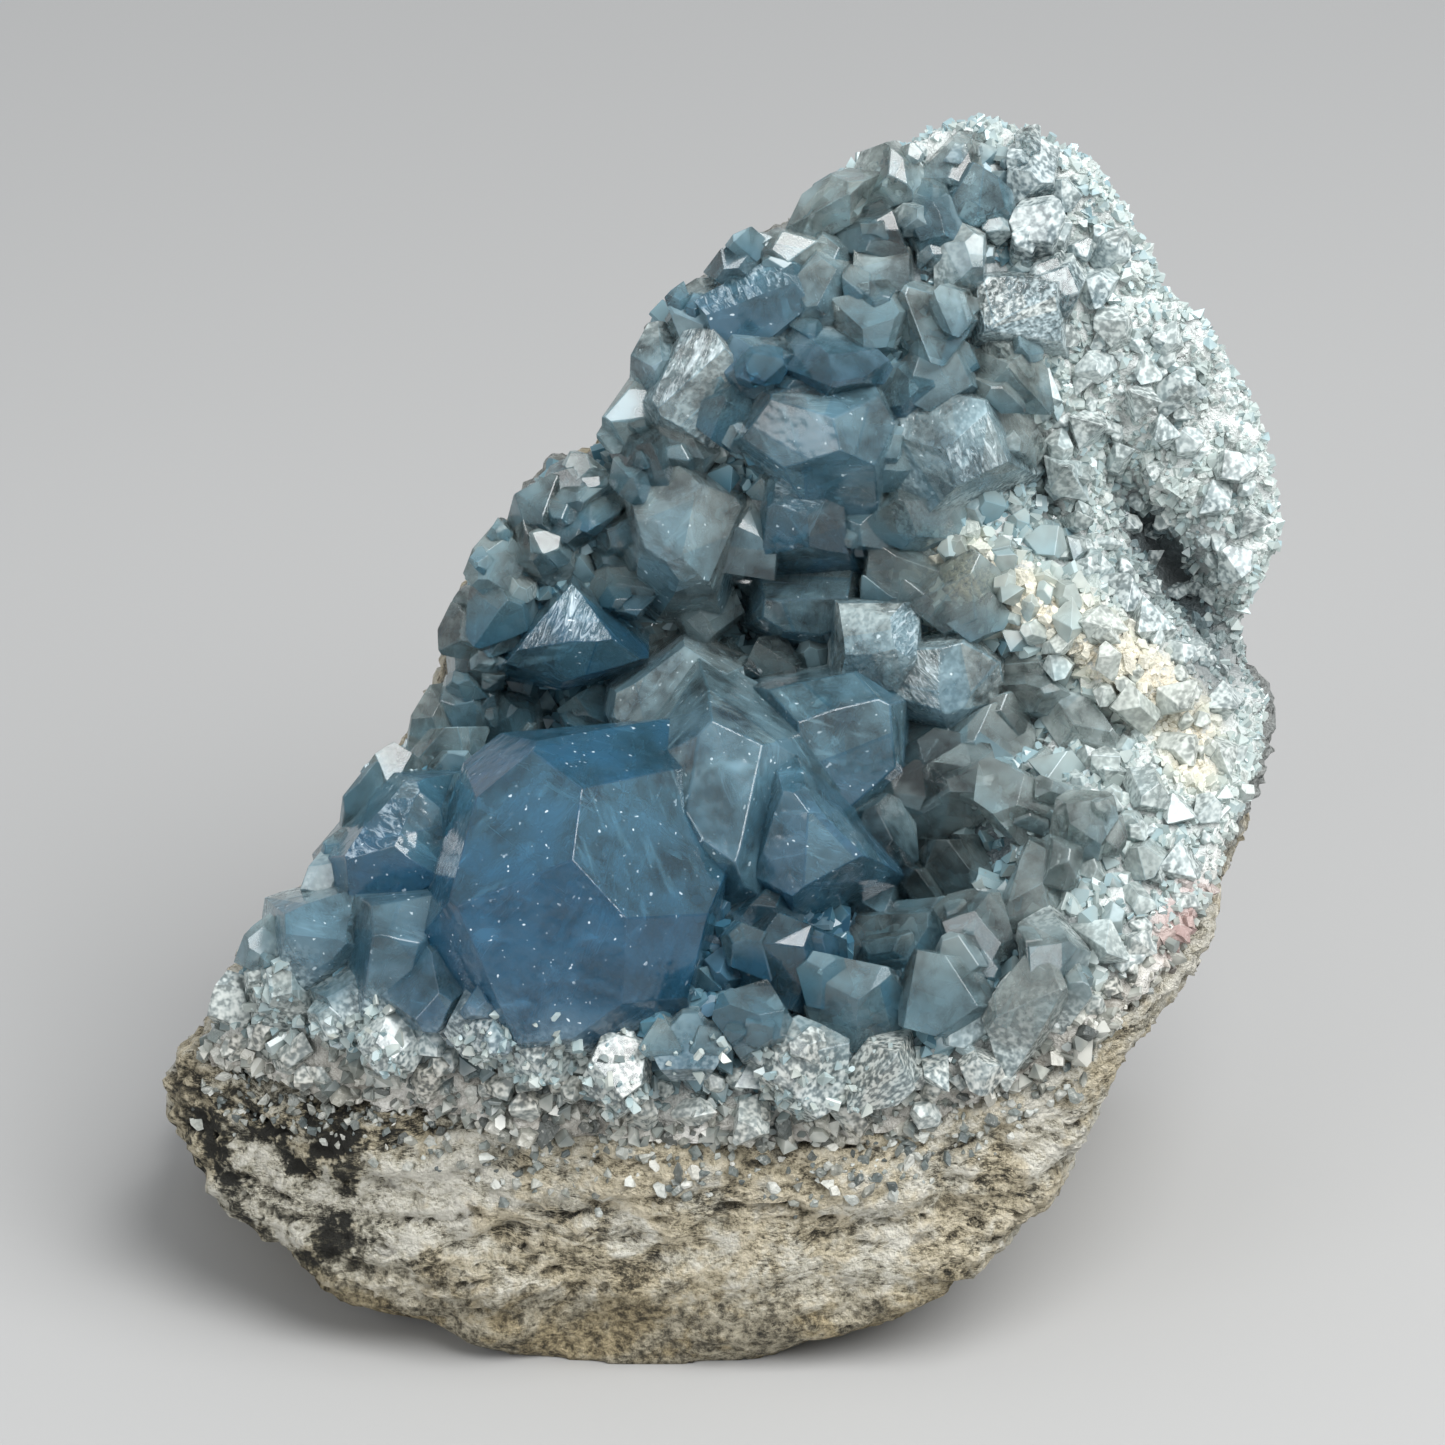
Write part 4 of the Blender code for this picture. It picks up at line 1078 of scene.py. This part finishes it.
def great_crystals(settings):
    """The largest crystals, each after its own solid, and the veils inside them."""
    cluster, inner = Cluster("great_crystals"), Cluster("inner_veils")
    dice = random.Random(31)
    root = Vector((0.0, 0.0, -1.0))
    for name, (across, up, rise, sides, blue, milk) in GREAT_CRYSTALS.items():
        facets = [(direction(turn, tilt), distance) for turn, tilt, distance in sides]
        bright = [facets[n][0] for n in CRUMPLED_HIGHLIGHT_FACES.get(name, ())]
        facets = creased(facets, settings.creases if blue < 0.9 else 0, dice)
        facets.append((root, CRUST + rise - 1.0))
        largest = max(distance for _, _, distance in sides)
        bm = faceted(facets, 1.6 * largest)
        chip_corners(bm, settings.chips, 0.08 * largest, dice)
        place = Vector((across, up, face_height(across, up) + rise))
        bmesh.ops.translate(bm, vec=place, verts=bm.verts)
        lean = direction(dice.uniform(0.0, 360.0), dice.uniform(15.0, 75.0))
        for n in range(settings.veils + (4 if largest > WIDEST_PLAIN else 0)):
            normal = (lean + 0.12 * Vector([dice.uniform(-1, 1) for _ in "xyz"])).normalized()
            if n % 3 == 2:
                normal = normal.cross(root).normalized()
            shift = Vector([dice.uniform(-0.5, 0.5) * largest for _ in "xyz"])
            sheet = veil(bm, place + shift, normal)
            if sheet:
                inner.add(sheet, FACE)
        marks = (blue, milk, 0.2 * yellowness(across, up), 0.6 * clear_and_shaded_at(across, up), 0.0, 0.0)
        dress_crystal(bm, settings.edge_width, 2, marks, dice, 2.5, bright)
        cluster.add(bm, FACE)
    return cluster.made(), inner.made()


def habit_crystal(across, up, half, habits, dice):
    """A crystal in face coordinates with the same faces, turn and place as its solid has."""
    facets = []
    for indices, share in dice.choice(habits):
        for normal in habit_normals(indices):
            facets.append((normal, half * share * dice.uniform(0.84, 1.14)))
    long_axis = direction(dice.uniform(0.0, 360.0), dice.uniform(10.0, 65.0))
    across_axis = long_axis.orthogonal().normalized()
    axes = Matrix((long_axis, across_axis, long_axis.cross(across_axis))).transposed().to_4x4()
    spun = Matrix.Rotation(math.radians(dice.uniform(0.0, 180.0)), 4, long_axis) @ axes
    place = Vector((across, up, face_height(across, up) + dice.uniform(0.15, 0.5) * half))
    return facets, Matrix.Translation(place) @ spun


def companions(facets, matrix, half, count, looks):
    """Smaller crystals grown parallel to a crystal, part way into its sides."""
    made = []
    for _ in range(count):
        normal, distance = looks.choice(facets)
        towards = (normal + 0.5 * Vector([looks.uniform(-1, 1) for _ in "xyz"])).normalized()
        size = looks.uniform(0.3, 0.62)
        shift = towards * distance * looks.uniform(0.75, 1.0)
        lean = Matrix.Rotation(looks.uniform(-0.15, 0.15), 4, towards)
        own = [(normal, distance * size * looks.uniform(0.8, 1.2)) for normal, distance in facets]
        place = matrix @ Matrix.Translation(shift) @ lean
        if (place.translation - matrix.translation).z > -0.3 * half:
            made.append((own, place, size * half))
    return made


def tints_at(across, up, looks, spread):
    """A crystal's marks at a place of the face, in the order of their names."""
    blue = blueness(across, up) + looks.uniform(-spread, spread)
    milk = milkiness(across, up) * 0.8 + looks.uniform(-0.2, 0.25)
    deep = clear_and_shaded_at(across, up) + looks.uniform(-0.2, 0.2)
    return blue, milk, 0.3 * yellowness(across, up), deep, footness(across, up), pinkness(across, up)


def blocky_crystals(settings):
    """The mid-sized crystals, with smaller ones grown on to them."""
    cluster = Cluster("blocky_crystals")
    dice = random.Random(SCATTER_SEED + 1)
    looks = random.Random(41)
    for number, (across, up, half) in enumerate(BLOCKY_CRYSTALS + EDGE_CRYSTALS):
        draws = dice if number < len(BLOCKY_CRYSTALS) else looks
        facets, matrix = habit_crystal(across, up, half, HABITS, draws)
        facets = [(normal, distance * settings.fullness) for normal, distance in facets]
        half *= settings.fullness
        grown = [(creased(facets, 1, looks), matrix, half)]
        grown += companions(facets, matrix, half, settings.companions, looks)
        for own, place, size in grown:
            bm = faceted(own, 1.3 * size)
            chip_corners(bm, settings.chips, 0.12 * size, looks)
            bmesh.ops.transform(bm, matrix=place, verts=bm.verts)
            trimmed(bm, across, up, 1.6 * half)
            if not bm.faces:
                bm.free()
                continue
            tints = tints_at(across, up, looks, 0.16)
            dress_crystal(bm, 0.5 * settings.edge_width, 1, tints, looks, 2.5 if size > 3.0 else 0.0)
            cluster.add(bm, FACE)
    return cluster.made()


def small_crystals(settings):
    """The small crystals that the solid has, and more of them in the gaps."""
    cluster = Cluster("small_crystals")
    dice = random.Random(SCATTER_SEED)
    looks = random.Random(43)
    placed = [(s[0], s[1], 0.8 * max(d for _, _, d in s[3])) for s in GREAT_CRYSTALS.values()]
    placed += [(across, up, 0.75 * half) for across, up, half in BLOCKY_CRYSTALS]
    made = 0
    while made < SCATTERED:
        across = dice.uniform(-0.5, 0.5) * WIDTH
        up = dice.uniform(0.2, 1.0) * HEIGHT
        half = dice.uniform(*SMALL_HALF)
        if from_edge(across, up) < SMALL_MARGIN or up < rock_line(across) + 4.0:
            continue
        if swell(across, up, SWELLS["cleft"]) + swell(across, up, SWELLS["crack"]) < -1.5:
            continue
        if any(math.hypot(across - a, up - u) < r + 0.45 * half for a, u, r in placed):
            continue
        placed.append((across, up, 0.9 * half))
        made += 1
        add_small(cluster, across, up, half, SMALL_HABITS, dice, looks, settings)
    larger = tree_of([piece("great_crystals"), piece("blocky_crystals")])
    while made < SCATTERED + settings.gap_crystals:
        across = looks.uniform(-0.5, 0.5) * WIDTH
        up = looks.uniform(0.2, 1.0) * HEIGHT
        half = looks.uniform(1.2, 2.5) * (1.0 - 0.35 * milkiness(across, up))
        if from_edge(across, up) < 3.0 or up < rock_line(across) + 2.0:
            continue
        made += 1
        place = FACE @ Vector((across, up, face_height(across, up) + 0.6 * half))
        hit = larger.ray_cast(place, OUTWARD, 0.04)
        if hit[0] is None or hit[1].dot(OUTWARD) < 0.0:
            add_small(cluster, across, up, half, HABITS, looks, looks, settings)
    return cluster.made()


def add_small(cluster, across, up, half, habits, dice, looks, settings):
    facets, matrix = habit_crystal(across, up, half, habits, dice)
    bm = faceted(facets, 1.3 * half)
    bmesh.ops.transform(bm, matrix=matrix, verts=bm.verts)
    tints = tints_at(across, up, looks, 0.14)
    dress_crystal(bm, 0.35 * settings.edge_width, 1, tints, looks, sinking=0.25)
    cluster.add(bm, FACE)


def tree_of(objects):
    """A search tree over the meshes of several objects."""
    bm = bmesh.new()
    for obj in objects:
        bm.from_mesh(obj.data)
    found = BVHTree.FromBMesh(bm)
    bm.free()
    return found


def grain_templates(count, dice, habits):
    """Tiny crystals of half length one, as meshes to copy."""
    made = []
    for _ in range(count):
        facets = []
        for indices, share in dice.choice(habits):
            for normal in habit_normals(indices):
                facets.append((normal, share * dice.uniform(0.7, 1.25)))
        bm = faceted(facets, 1.3)
        frost = bm.faces.layers.float.new("frost")
        for face in bm.faces:
            face[frost] = dice.random()
        mesh = bpy.data.meshes.new("grain")
        bm.to_mesh(mesh)
        bm.free()
        made.append(mesh)
    return made


def rubble_templates(count, dice):
    """Tiny broken lumps of half length one, as meshes to copy."""
    made = []
    for _ in range(count):
        facets = []
        for _ in range(11):
            normal = Vector([dice.gauss(0.0, 1.0) for _ in "xyz"]).normalized()
            facets.append((normal, dice.uniform(0.45, 0.8)))
        bm = faceted(facets, 1.0)
        frost = bm.faces.layers.float.new("frost")
        for face in bm.faces:
            face[frost] = dice.random()
        mesh = bpy.data.meshes.new("lump")
        bm.to_mesh(mesh)
        bm.free()
        made.append(mesh)
    return made


def strewn(name, spots, templates, dice):
    """Copies of tiny crystals at spots, each (place, normal, half length, tints)."""
    total = bmesh.new()
    group = 80
    tints = {mark: [] for mark in MARKS}
    grains = []
    for first in range(0, len(spots), group):
        bm = bmesh.new()
        for place, normal, half, marks in spots[first:first + group]:
            before = len(bm.verts)
            bm.from_mesh(dice.choice(templates))
            bm.verts.ensure_lookup_table()
            fresh = bm.verts[before:]
            lean = (normal + 0.8 * Vector([dice.uniform(-1, 1) for _ in "xyz"])).normalized()
            turn = lean.to_track_quat("X", "Z").to_matrix().to_4x4()
            spin = Matrix.Rotation(dice.uniform(0.0, 6.28), 4, "X")
            size = Matrix.Scale(half * MM, 4)
            bmesh.ops.transform(bm, matrix=Matrix.Translation(place) @ turn @ spin @ size, verts=fresh)
            for values, mark in zip(tints.values(), marks):
                values += [mark] * len(fresh)
            shift = Vector([dice.uniform(-400.0, 400.0) for _ in "xyz"])
            for vert in fresh:
                grains += list(vert.co / MM + shift)
        mesh = bpy.data.meshes.new("group")
        bm.to_mesh(mesh)
        bm.free()
        total.from_mesh(mesh)
        bpy.data.meshes.remove(mesh)
    obj = new_object(name, total)
    for attribute, values in tints.items():
        layer = obj.data.attributes.new(attribute, "FLOAT", "POINT")
        layer.data.foreach_set("value", values)
    layer = obj.data.attributes.new("grain", "FLOAT_VECTOR", "POINT")
    layer.data.foreach_set("vector", grains)
    return obj


def druse_spots(ground, crystals, count, dice):
    """Places on the ground's open surface, with the size and the tints that fit each."""
    mesh = ground.data
    back = FACE.inverted()
    shares, faces = [], []
    for polygon in mesh.polygons:
        flat = back @ polygon.center
        depth = face_height(flat.x, flat.y) - flat.z
        if depth > 6.6 or polygon.normal.dot(OUTWARD) < -0.55:
            continue
        faces.append(polygon)
        above = flat.y - rock_line(flat.x)
        foot = 1.0 - eased(4.0, 14.0, above)
        shares.append(polygon.area * (1.0 + 0.7 * milkiness(flat.x, flat.y) - 0.5 * foot))
    spots = []
    for polygon in dice.choices(faces, shares, k=count * 2):
        if len(spots) == count:
            break
        place, normal = polygon.center.copy(), polygon.normal.copy()
        corners = [mesh.vertices[v].co for v in polygon.vertices]
        place = place.lerp(dice.choice(corners), dice.uniform(0.0, 0.9))
        hit = crystals.ray_cast(place + normal * 0.0001, normal, 0.04)
        if hit[0] is not None and hit[1].dot(normal) > 0.0:
            continue
        flat = back @ place
        milk = milkiness(flat.x, flat.y)
        clump = noise.noise(Vector((flat.x * 0.16, flat.y * 0.16, 7.0)))
        foot = footness(flat.x, flat.y)
        half = (0.4 + 0.9 * dice.random() ** 2) * (1.45 - 0.8 * milk + 0.5 * clump)
        # Painted shade for grains near the outline on the left side
        shaded = (1.0 - eased(1.0, 7.0, from_edge(flat.x, flat.y))) * (1.0 - eased(-5.0, 25.0, flat.x))
        sunk = swell(flat.x, flat.y, SWELLS["cleft"]) + swell(flat.x, flat.y, SWELLS["crack"])
        if sunk < -7.5:
            continue
        blue = blueness(flat.x, flat.y) * (1.0 - 0.5 * milk) + dice.uniform(-0.15, 0.15)
        milk = min(1.0, max(0.0, milk + 0.5 * clump + dice.uniform(-0.4, 0.3)))
        marks = (
            max(0.0, blue), milk, yellowness(flat.x, flat.y),
            # Painted shade: also darker among the blue crystals, in the gaps between them
            max(clear_and_shaded_at(flat.x, flat.y), 0.5 * shaded, blueness(flat.x, flat.y) - 0.35),
            footness(flat.x, flat.y), pinkness(flat.x, flat.y),
        )
        spots.append((place, normal, half, marks))
    return spots


def seam_spots(obj, share_at, marks, count, dice):
    """Places on an object's open side for broken lumps, thickest where the share is largest."""
    back = FACE.inverted()
    faces, shares = [], []
    for polygon in obj.data.polygons:
        flat = back @ polygon.center
        if polygon.normal.dot(OUTWARD) < 0.2 or flat.z < face_height(flat.x, flat.y) - 7.0:
            continue
        if from_edge(flat.x, flat.y) < 3.0:
            continue
        share = share_at(flat.x, flat.y)
        if share > 0.0:
            faces.append(polygon)
            shares.append(share * share * polygon.area)
    spots = []
    for polygon in dice.choices(faces, shares, k=count):
        half = 0.25 + 0.7 * dice.random() ** 2
        tints = [dice.uniform(low, high) for low, high in marks]
        spots.append((polygon.center.copy(), polygon.normal.copy(), half, tints))
    return spots


def below_line(across, up):
    """Nearness to the rock's side of the line where the crystals begin."""
    above = up - rock_line(across) + 3.0 * noise.noise(Vector((across * 0.15, up * 0.15, 2.0)))
    return eased(-9.0, -1.0, above) * (1.0 - eased(2.0, 5.0, above))


def creeping(across, up):
    """Where grains creep up the feet of the crystals."""
    return max(0.0, granular(across, up) - 0.25)


# The add-on

class CelestiteSizes(bpy.types.PropertyGroup):
    """Sizes of the cluster's fine detail."""

    rock_grain: bpy.props.FloatProperty(
        name="Rock Grain", description="Spacing of the points of the rock's surface, in millimetres",
        default=0.9, min=0.5, max=4.0,
    )
    rock_roughness: bpy.props.FloatProperty(
        name="Rock Roughness", description="Height of the rock's beds and crumbs, in millimetres",
        default=1.25, min=0.0, max=3.0,
    )
    ground_step: bpy.props.FloatProperty(
        name="Ground Step", description="Spacing of the points of the crystal ground, in millimetres",
        default=0.9, min=0.4, max=4.0,
    )
    edge_width: bpy.props.FloatProperty(
        name="Edge Width", description="Width of the worn edges of the largest crystals, in millimetres",
        default=0.2, min=0.05, max=1.0,
    )
    creases: bpy.props.IntProperty(
        name="Creases", description="Slightly leaning flats on each large face", default=1, min=0, max=6,
    )
    veils: bpy.props.IntProperty(
        name="Veils", description="Healed fractures inside each of the largest crystals", default=3, min=0, max=12,
    )
    companions: bpy.props.IntProperty(
        name="Companions", description="Smaller crystals grown on to each blocky one", default=3, min=0, max=8,
    )
    fullness: bpy.props.FloatProperty(
        name="Fullness", description="Size of the blocky crystals beside their solids' size",
        default=1.12, min=0.8, max=1.3, subtype="FACTOR",
    )
    gap_crystals: bpy.props.IntProperty(
        name="Gap Crystals", description="Small crystals in the gaps between the larger ones",
        default=700, min=0, max=2000,
    )
    chips: bpy.props.IntProperty(
        name="Chips", description="Broken corners on each crystal", default=3, min=0, max=12,
    )
    druse_count: bpy.props.IntProperty(
        name="Druse Crystals", description="Tiny crystals on the ground between the large ones",
        default=9300, min=0, max=40000,
    )
    seam_lumps: bpy.props.IntProperty(
        name="Seam Lumps", description="Broken lumps on the rock just below the crystals",
        default=600, min=0, max=5000,
    )


class CelestiteLook(bpy.types.PropertyGroup):
    """Colours of the stage, and how strong its light is."""

    floor_colour: bpy.props.FloatVectorProperty(
        name="Floor", description="Colour of the studio floor", subtype="COLOR", size=3,
        default=(0.41, 0.41, 0.405), min=0.0, max=1.0,
    )
    key_power: bpy.props.FloatProperty(
        name="Key Light", description="Power of the main soft light", default=20.0, min=0.0, unit="POWER",
    )
    sky_strength: bpy.props.FloatProperty(
        name="Sky", description="Strength of the even light from all round", default=0.56, min=0.0, subtype="FACTOR",
    )


def piece(name):
    found = bpy.data.objects.get(name)
    if found is None:
        raise RuntimeError(f"{name} has to be made first")
    return found


class CELESTITE_OT_host_rock(bpy.types.Operator):
    """Make the layered rock that the crystals grow on"""

    bl_idname = "celestite.host_rock"
    bl_label = "Host Rock"

    def execute(self, context):
        obj = rock_skin(context.scene.celestite_sizes)
        finish_piece(obj, rock_finish(), True, "host_rock")
        return {"FINISHED"}


class CELESTITE_OT_crystal_ground(bpy.types.Operator):
    """Make the granular ground between the crystals"""

    bl_idname = "celestite.crystal_ground"
    bl_label = "Crystal Ground"

    def execute(self, context):
        obj = crust_ground(context.scene.celestite_sizes)
        finish_piece(obj, crust_finish(), True, "celestite_crystals")
        return {"FINISHED"}


class CELESTITE_OT_great_crystals(bpy.types.Operator):
    """Make the largest crystals"""

    bl_idname = "celestite.great_crystals"
    bl_label = "Great Crystals"

    def execute(self, context):
        crystals, veils = great_crystals(context.scene.celestite_sizes)
        finish_piece(crystals, great_finish(), False, "celestite_crystals")
        finish_piece(veils, veil_finish(), False, "celestite_crystals")
        return {"FINISHED"}


class CELESTITE_OT_blocky_crystals(bpy.types.Operator):
    """Make the blocky crystals around the largest ones"""

    bl_idname = "celestite.blocky_crystals"
    bl_label = "Blocky Crystals"

    def execute(self, context):
        sizes = context.scene.celestite_sizes
        finish_piece(blocky_crystals(sizes), blocky_finish(), False, "celestite_crystals")
        finish_piece(small_crystals(sizes), small_finish(), False, "celestite_crystals")
        return {"FINISHED"}


class CELESTITE_OT_druse(bpy.types.Operator):
    """Cover the open ground with tiny crystals"""

    bl_idname = "celestite.druse"
    bl_label = "Druse"

    def execute(self, context):
        sizes = context.scene.celestite_sizes
        dice = random.Random(57)
        crystals = tree_of([piece("great_crystals"), piece("blocky_crystals"), piece("small_crystals")])
        spots = druse_spots(piece("crystal_ground"), crystals, sizes.druse_count, dice)
        templates = grain_templates(9, dice, [(PRISM, CHISEL), (PRISM, TABLET), (PRISM, CHISEL, TABLET)])
        lumps = rubble_templates(8, dice)
        crystalline, broken = [], []
        for spot in spots:
            milk, foot = spot[3][1], spot[3][4]
            rough = dice.random() < max(0.7 * eased(0.6, 1.0, milk), 0.4 * foot, spot[3][2])
            (broken if rough else crystalline).append(spot)
        broken += seam_spots(piece("host_rock_skin"), below_line, SEAM_TINTS, sizes.seam_lumps, dice)
        for name in ("great_crystals", "blocky_crystals"):
            crystalline += seam_spots(piece(name), creeping, CREEPING_TINTS, sizes.seam_lumps, dice)
        finish_piece(strewn("druse", crystalline, templates, dice), fine_finish(), False, "celestite_crystals")
        finish_piece(strewn("rubble", broken, lumps, dice), rubble_finish(), False, "celestite_crystals")
        for mesh in templates + lumps:
            bpy.data.meshes.remove(mesh)
        return {"FINISHED"}


def aimed(obj, target):
    """Turns a light or the camera towards a point."""
    obj.rotation_mode = "QUATERNION"
    obj.rotation_quaternion = (target - obj.location).to_track_quat("-Z", "Y")
    return obj


def soft_light(name, place, target, size, power):
    lamp = bpy.data.lights.new(name, "AREA")
    lamp.shape = "DISK"
    lamp.size = size
    lamp.energy = power
    obj = bpy.data.objects.new(name, lamp)
    bpy.context.scene.collection.objects.link(obj)
    obj.location = place
    return aimed(obj, target)


class CELESTITE_OT_stage(bpy.types.Operator):
    """Set the floor, the lights and the camera"""

    bl_idname = "celestite.stage"
    bl_label = "Stage"

    def execute(self, context):
        look = context.scene.celestite_look
        bm = bmesh.new()
        bmesh.ops.create_grid(bm, x_segments=1, y_segments=1, size=6.0)
        bmesh.ops.translate(bm, vec=(0.0, 0.0, -0.00005), verts=bm.verts)
        floor = new_object("floor", bm)
        floor.data.materials.append(floor_finish(look.floor_colour))

        middle = FACE @ Vector((0.0, 0.5225 * HEIGHT, 0.0))
        soft_light("key", Vector((0.5, -0.5, 1.0)), middle, 1.0, look.key_power)
        soft_light("fill", Vector((-0.8, -0.9, 0.5)), middle, 0.8, 0.25 * look.key_power)
        world = bpy.data.worlds.new("studio")
        world.use_nodes = True
        sky = world.node_tree.nodes["Background"]
        sky.inputs["Color"].default_value = (0.93, 0.96, 1.0, 1.0)
        sky.inputs["Strength"].default_value = look.sky_strength
        context.scene.world = world
        context.scene.view_settings.view_transform = "Standard"

        camera = bpy.data.objects.new("camera", bpy.data.cameras.new("camera"))
        context.scene.collection.objects.link(camera)
        camera.data.sensor_width = SENSOR
        camera.data.lens = SENSOR * VIEW_DISTANCE / PHOTO_SPAN
        camera.location = middle + OUTWARD * VIEW_DISTANCE
        aimed(camera, middle)
        context.scene.camera = camera
        return {"FINISHED"}


class CELESTITE_PT_panel(bpy.types.Panel):
    """Lists the steps that make the cluster"""

    bl_idname = "CELESTITE_PT_panel"
    bl_label = "Celestite"
    bl_space_type = "VIEW_3D"
    bl_region_type = "UI"
    bl_category = "Celestite"

    def draw(self, context):
        sizes, look = context.scene.celestite_sizes, context.scene.celestite_look
        for group in (sizes, look):
            for name in group.__annotations__:
                self.layout.prop(group, name)
        for step in STEPS:
            self.layout.operator(step.bl_idname)


STEPS = (
    CELESTITE_OT_host_rock,
    CELESTITE_OT_crystal_ground,
    CELESTITE_OT_great_crystals,
    CELESTITE_OT_blocky_crystals,
    CELESTITE_OT_druse,
    CELESTITE_OT_stage,
)
CLASSES = (CelestiteSizes, CelestiteLook, *STEPS, CELESTITE_PT_panel)


def register():
    for cls in CLASSES:
        bpy.utils.register_class(cls)
    bpy.types.Scene.celestite_sizes = bpy.props.PointerProperty(type=CelestiteSizes)
    bpy.types.Scene.celestite_look = bpy.props.PointerProperty(type=CelestiteLook)


def unregister():
    del bpy.types.Scene.celestite_look
    del bpy.types.Scene.celestite_sizes
    for cls in reversed(CLASSES):
        bpy.utils.unregister_class(cls)


def main():
    register()
    bpy.ops.celestite.host_rock()
    bpy.ops.celestite.crystal_ground()
    bpy.ops.celestite.great_crystals()
    bpy.ops.celestite.blocky_crystals()
    bpy.ops.celestite.druse()
    bpy.ops.celestite.stage()


if __name__ == "__main__":
    main()
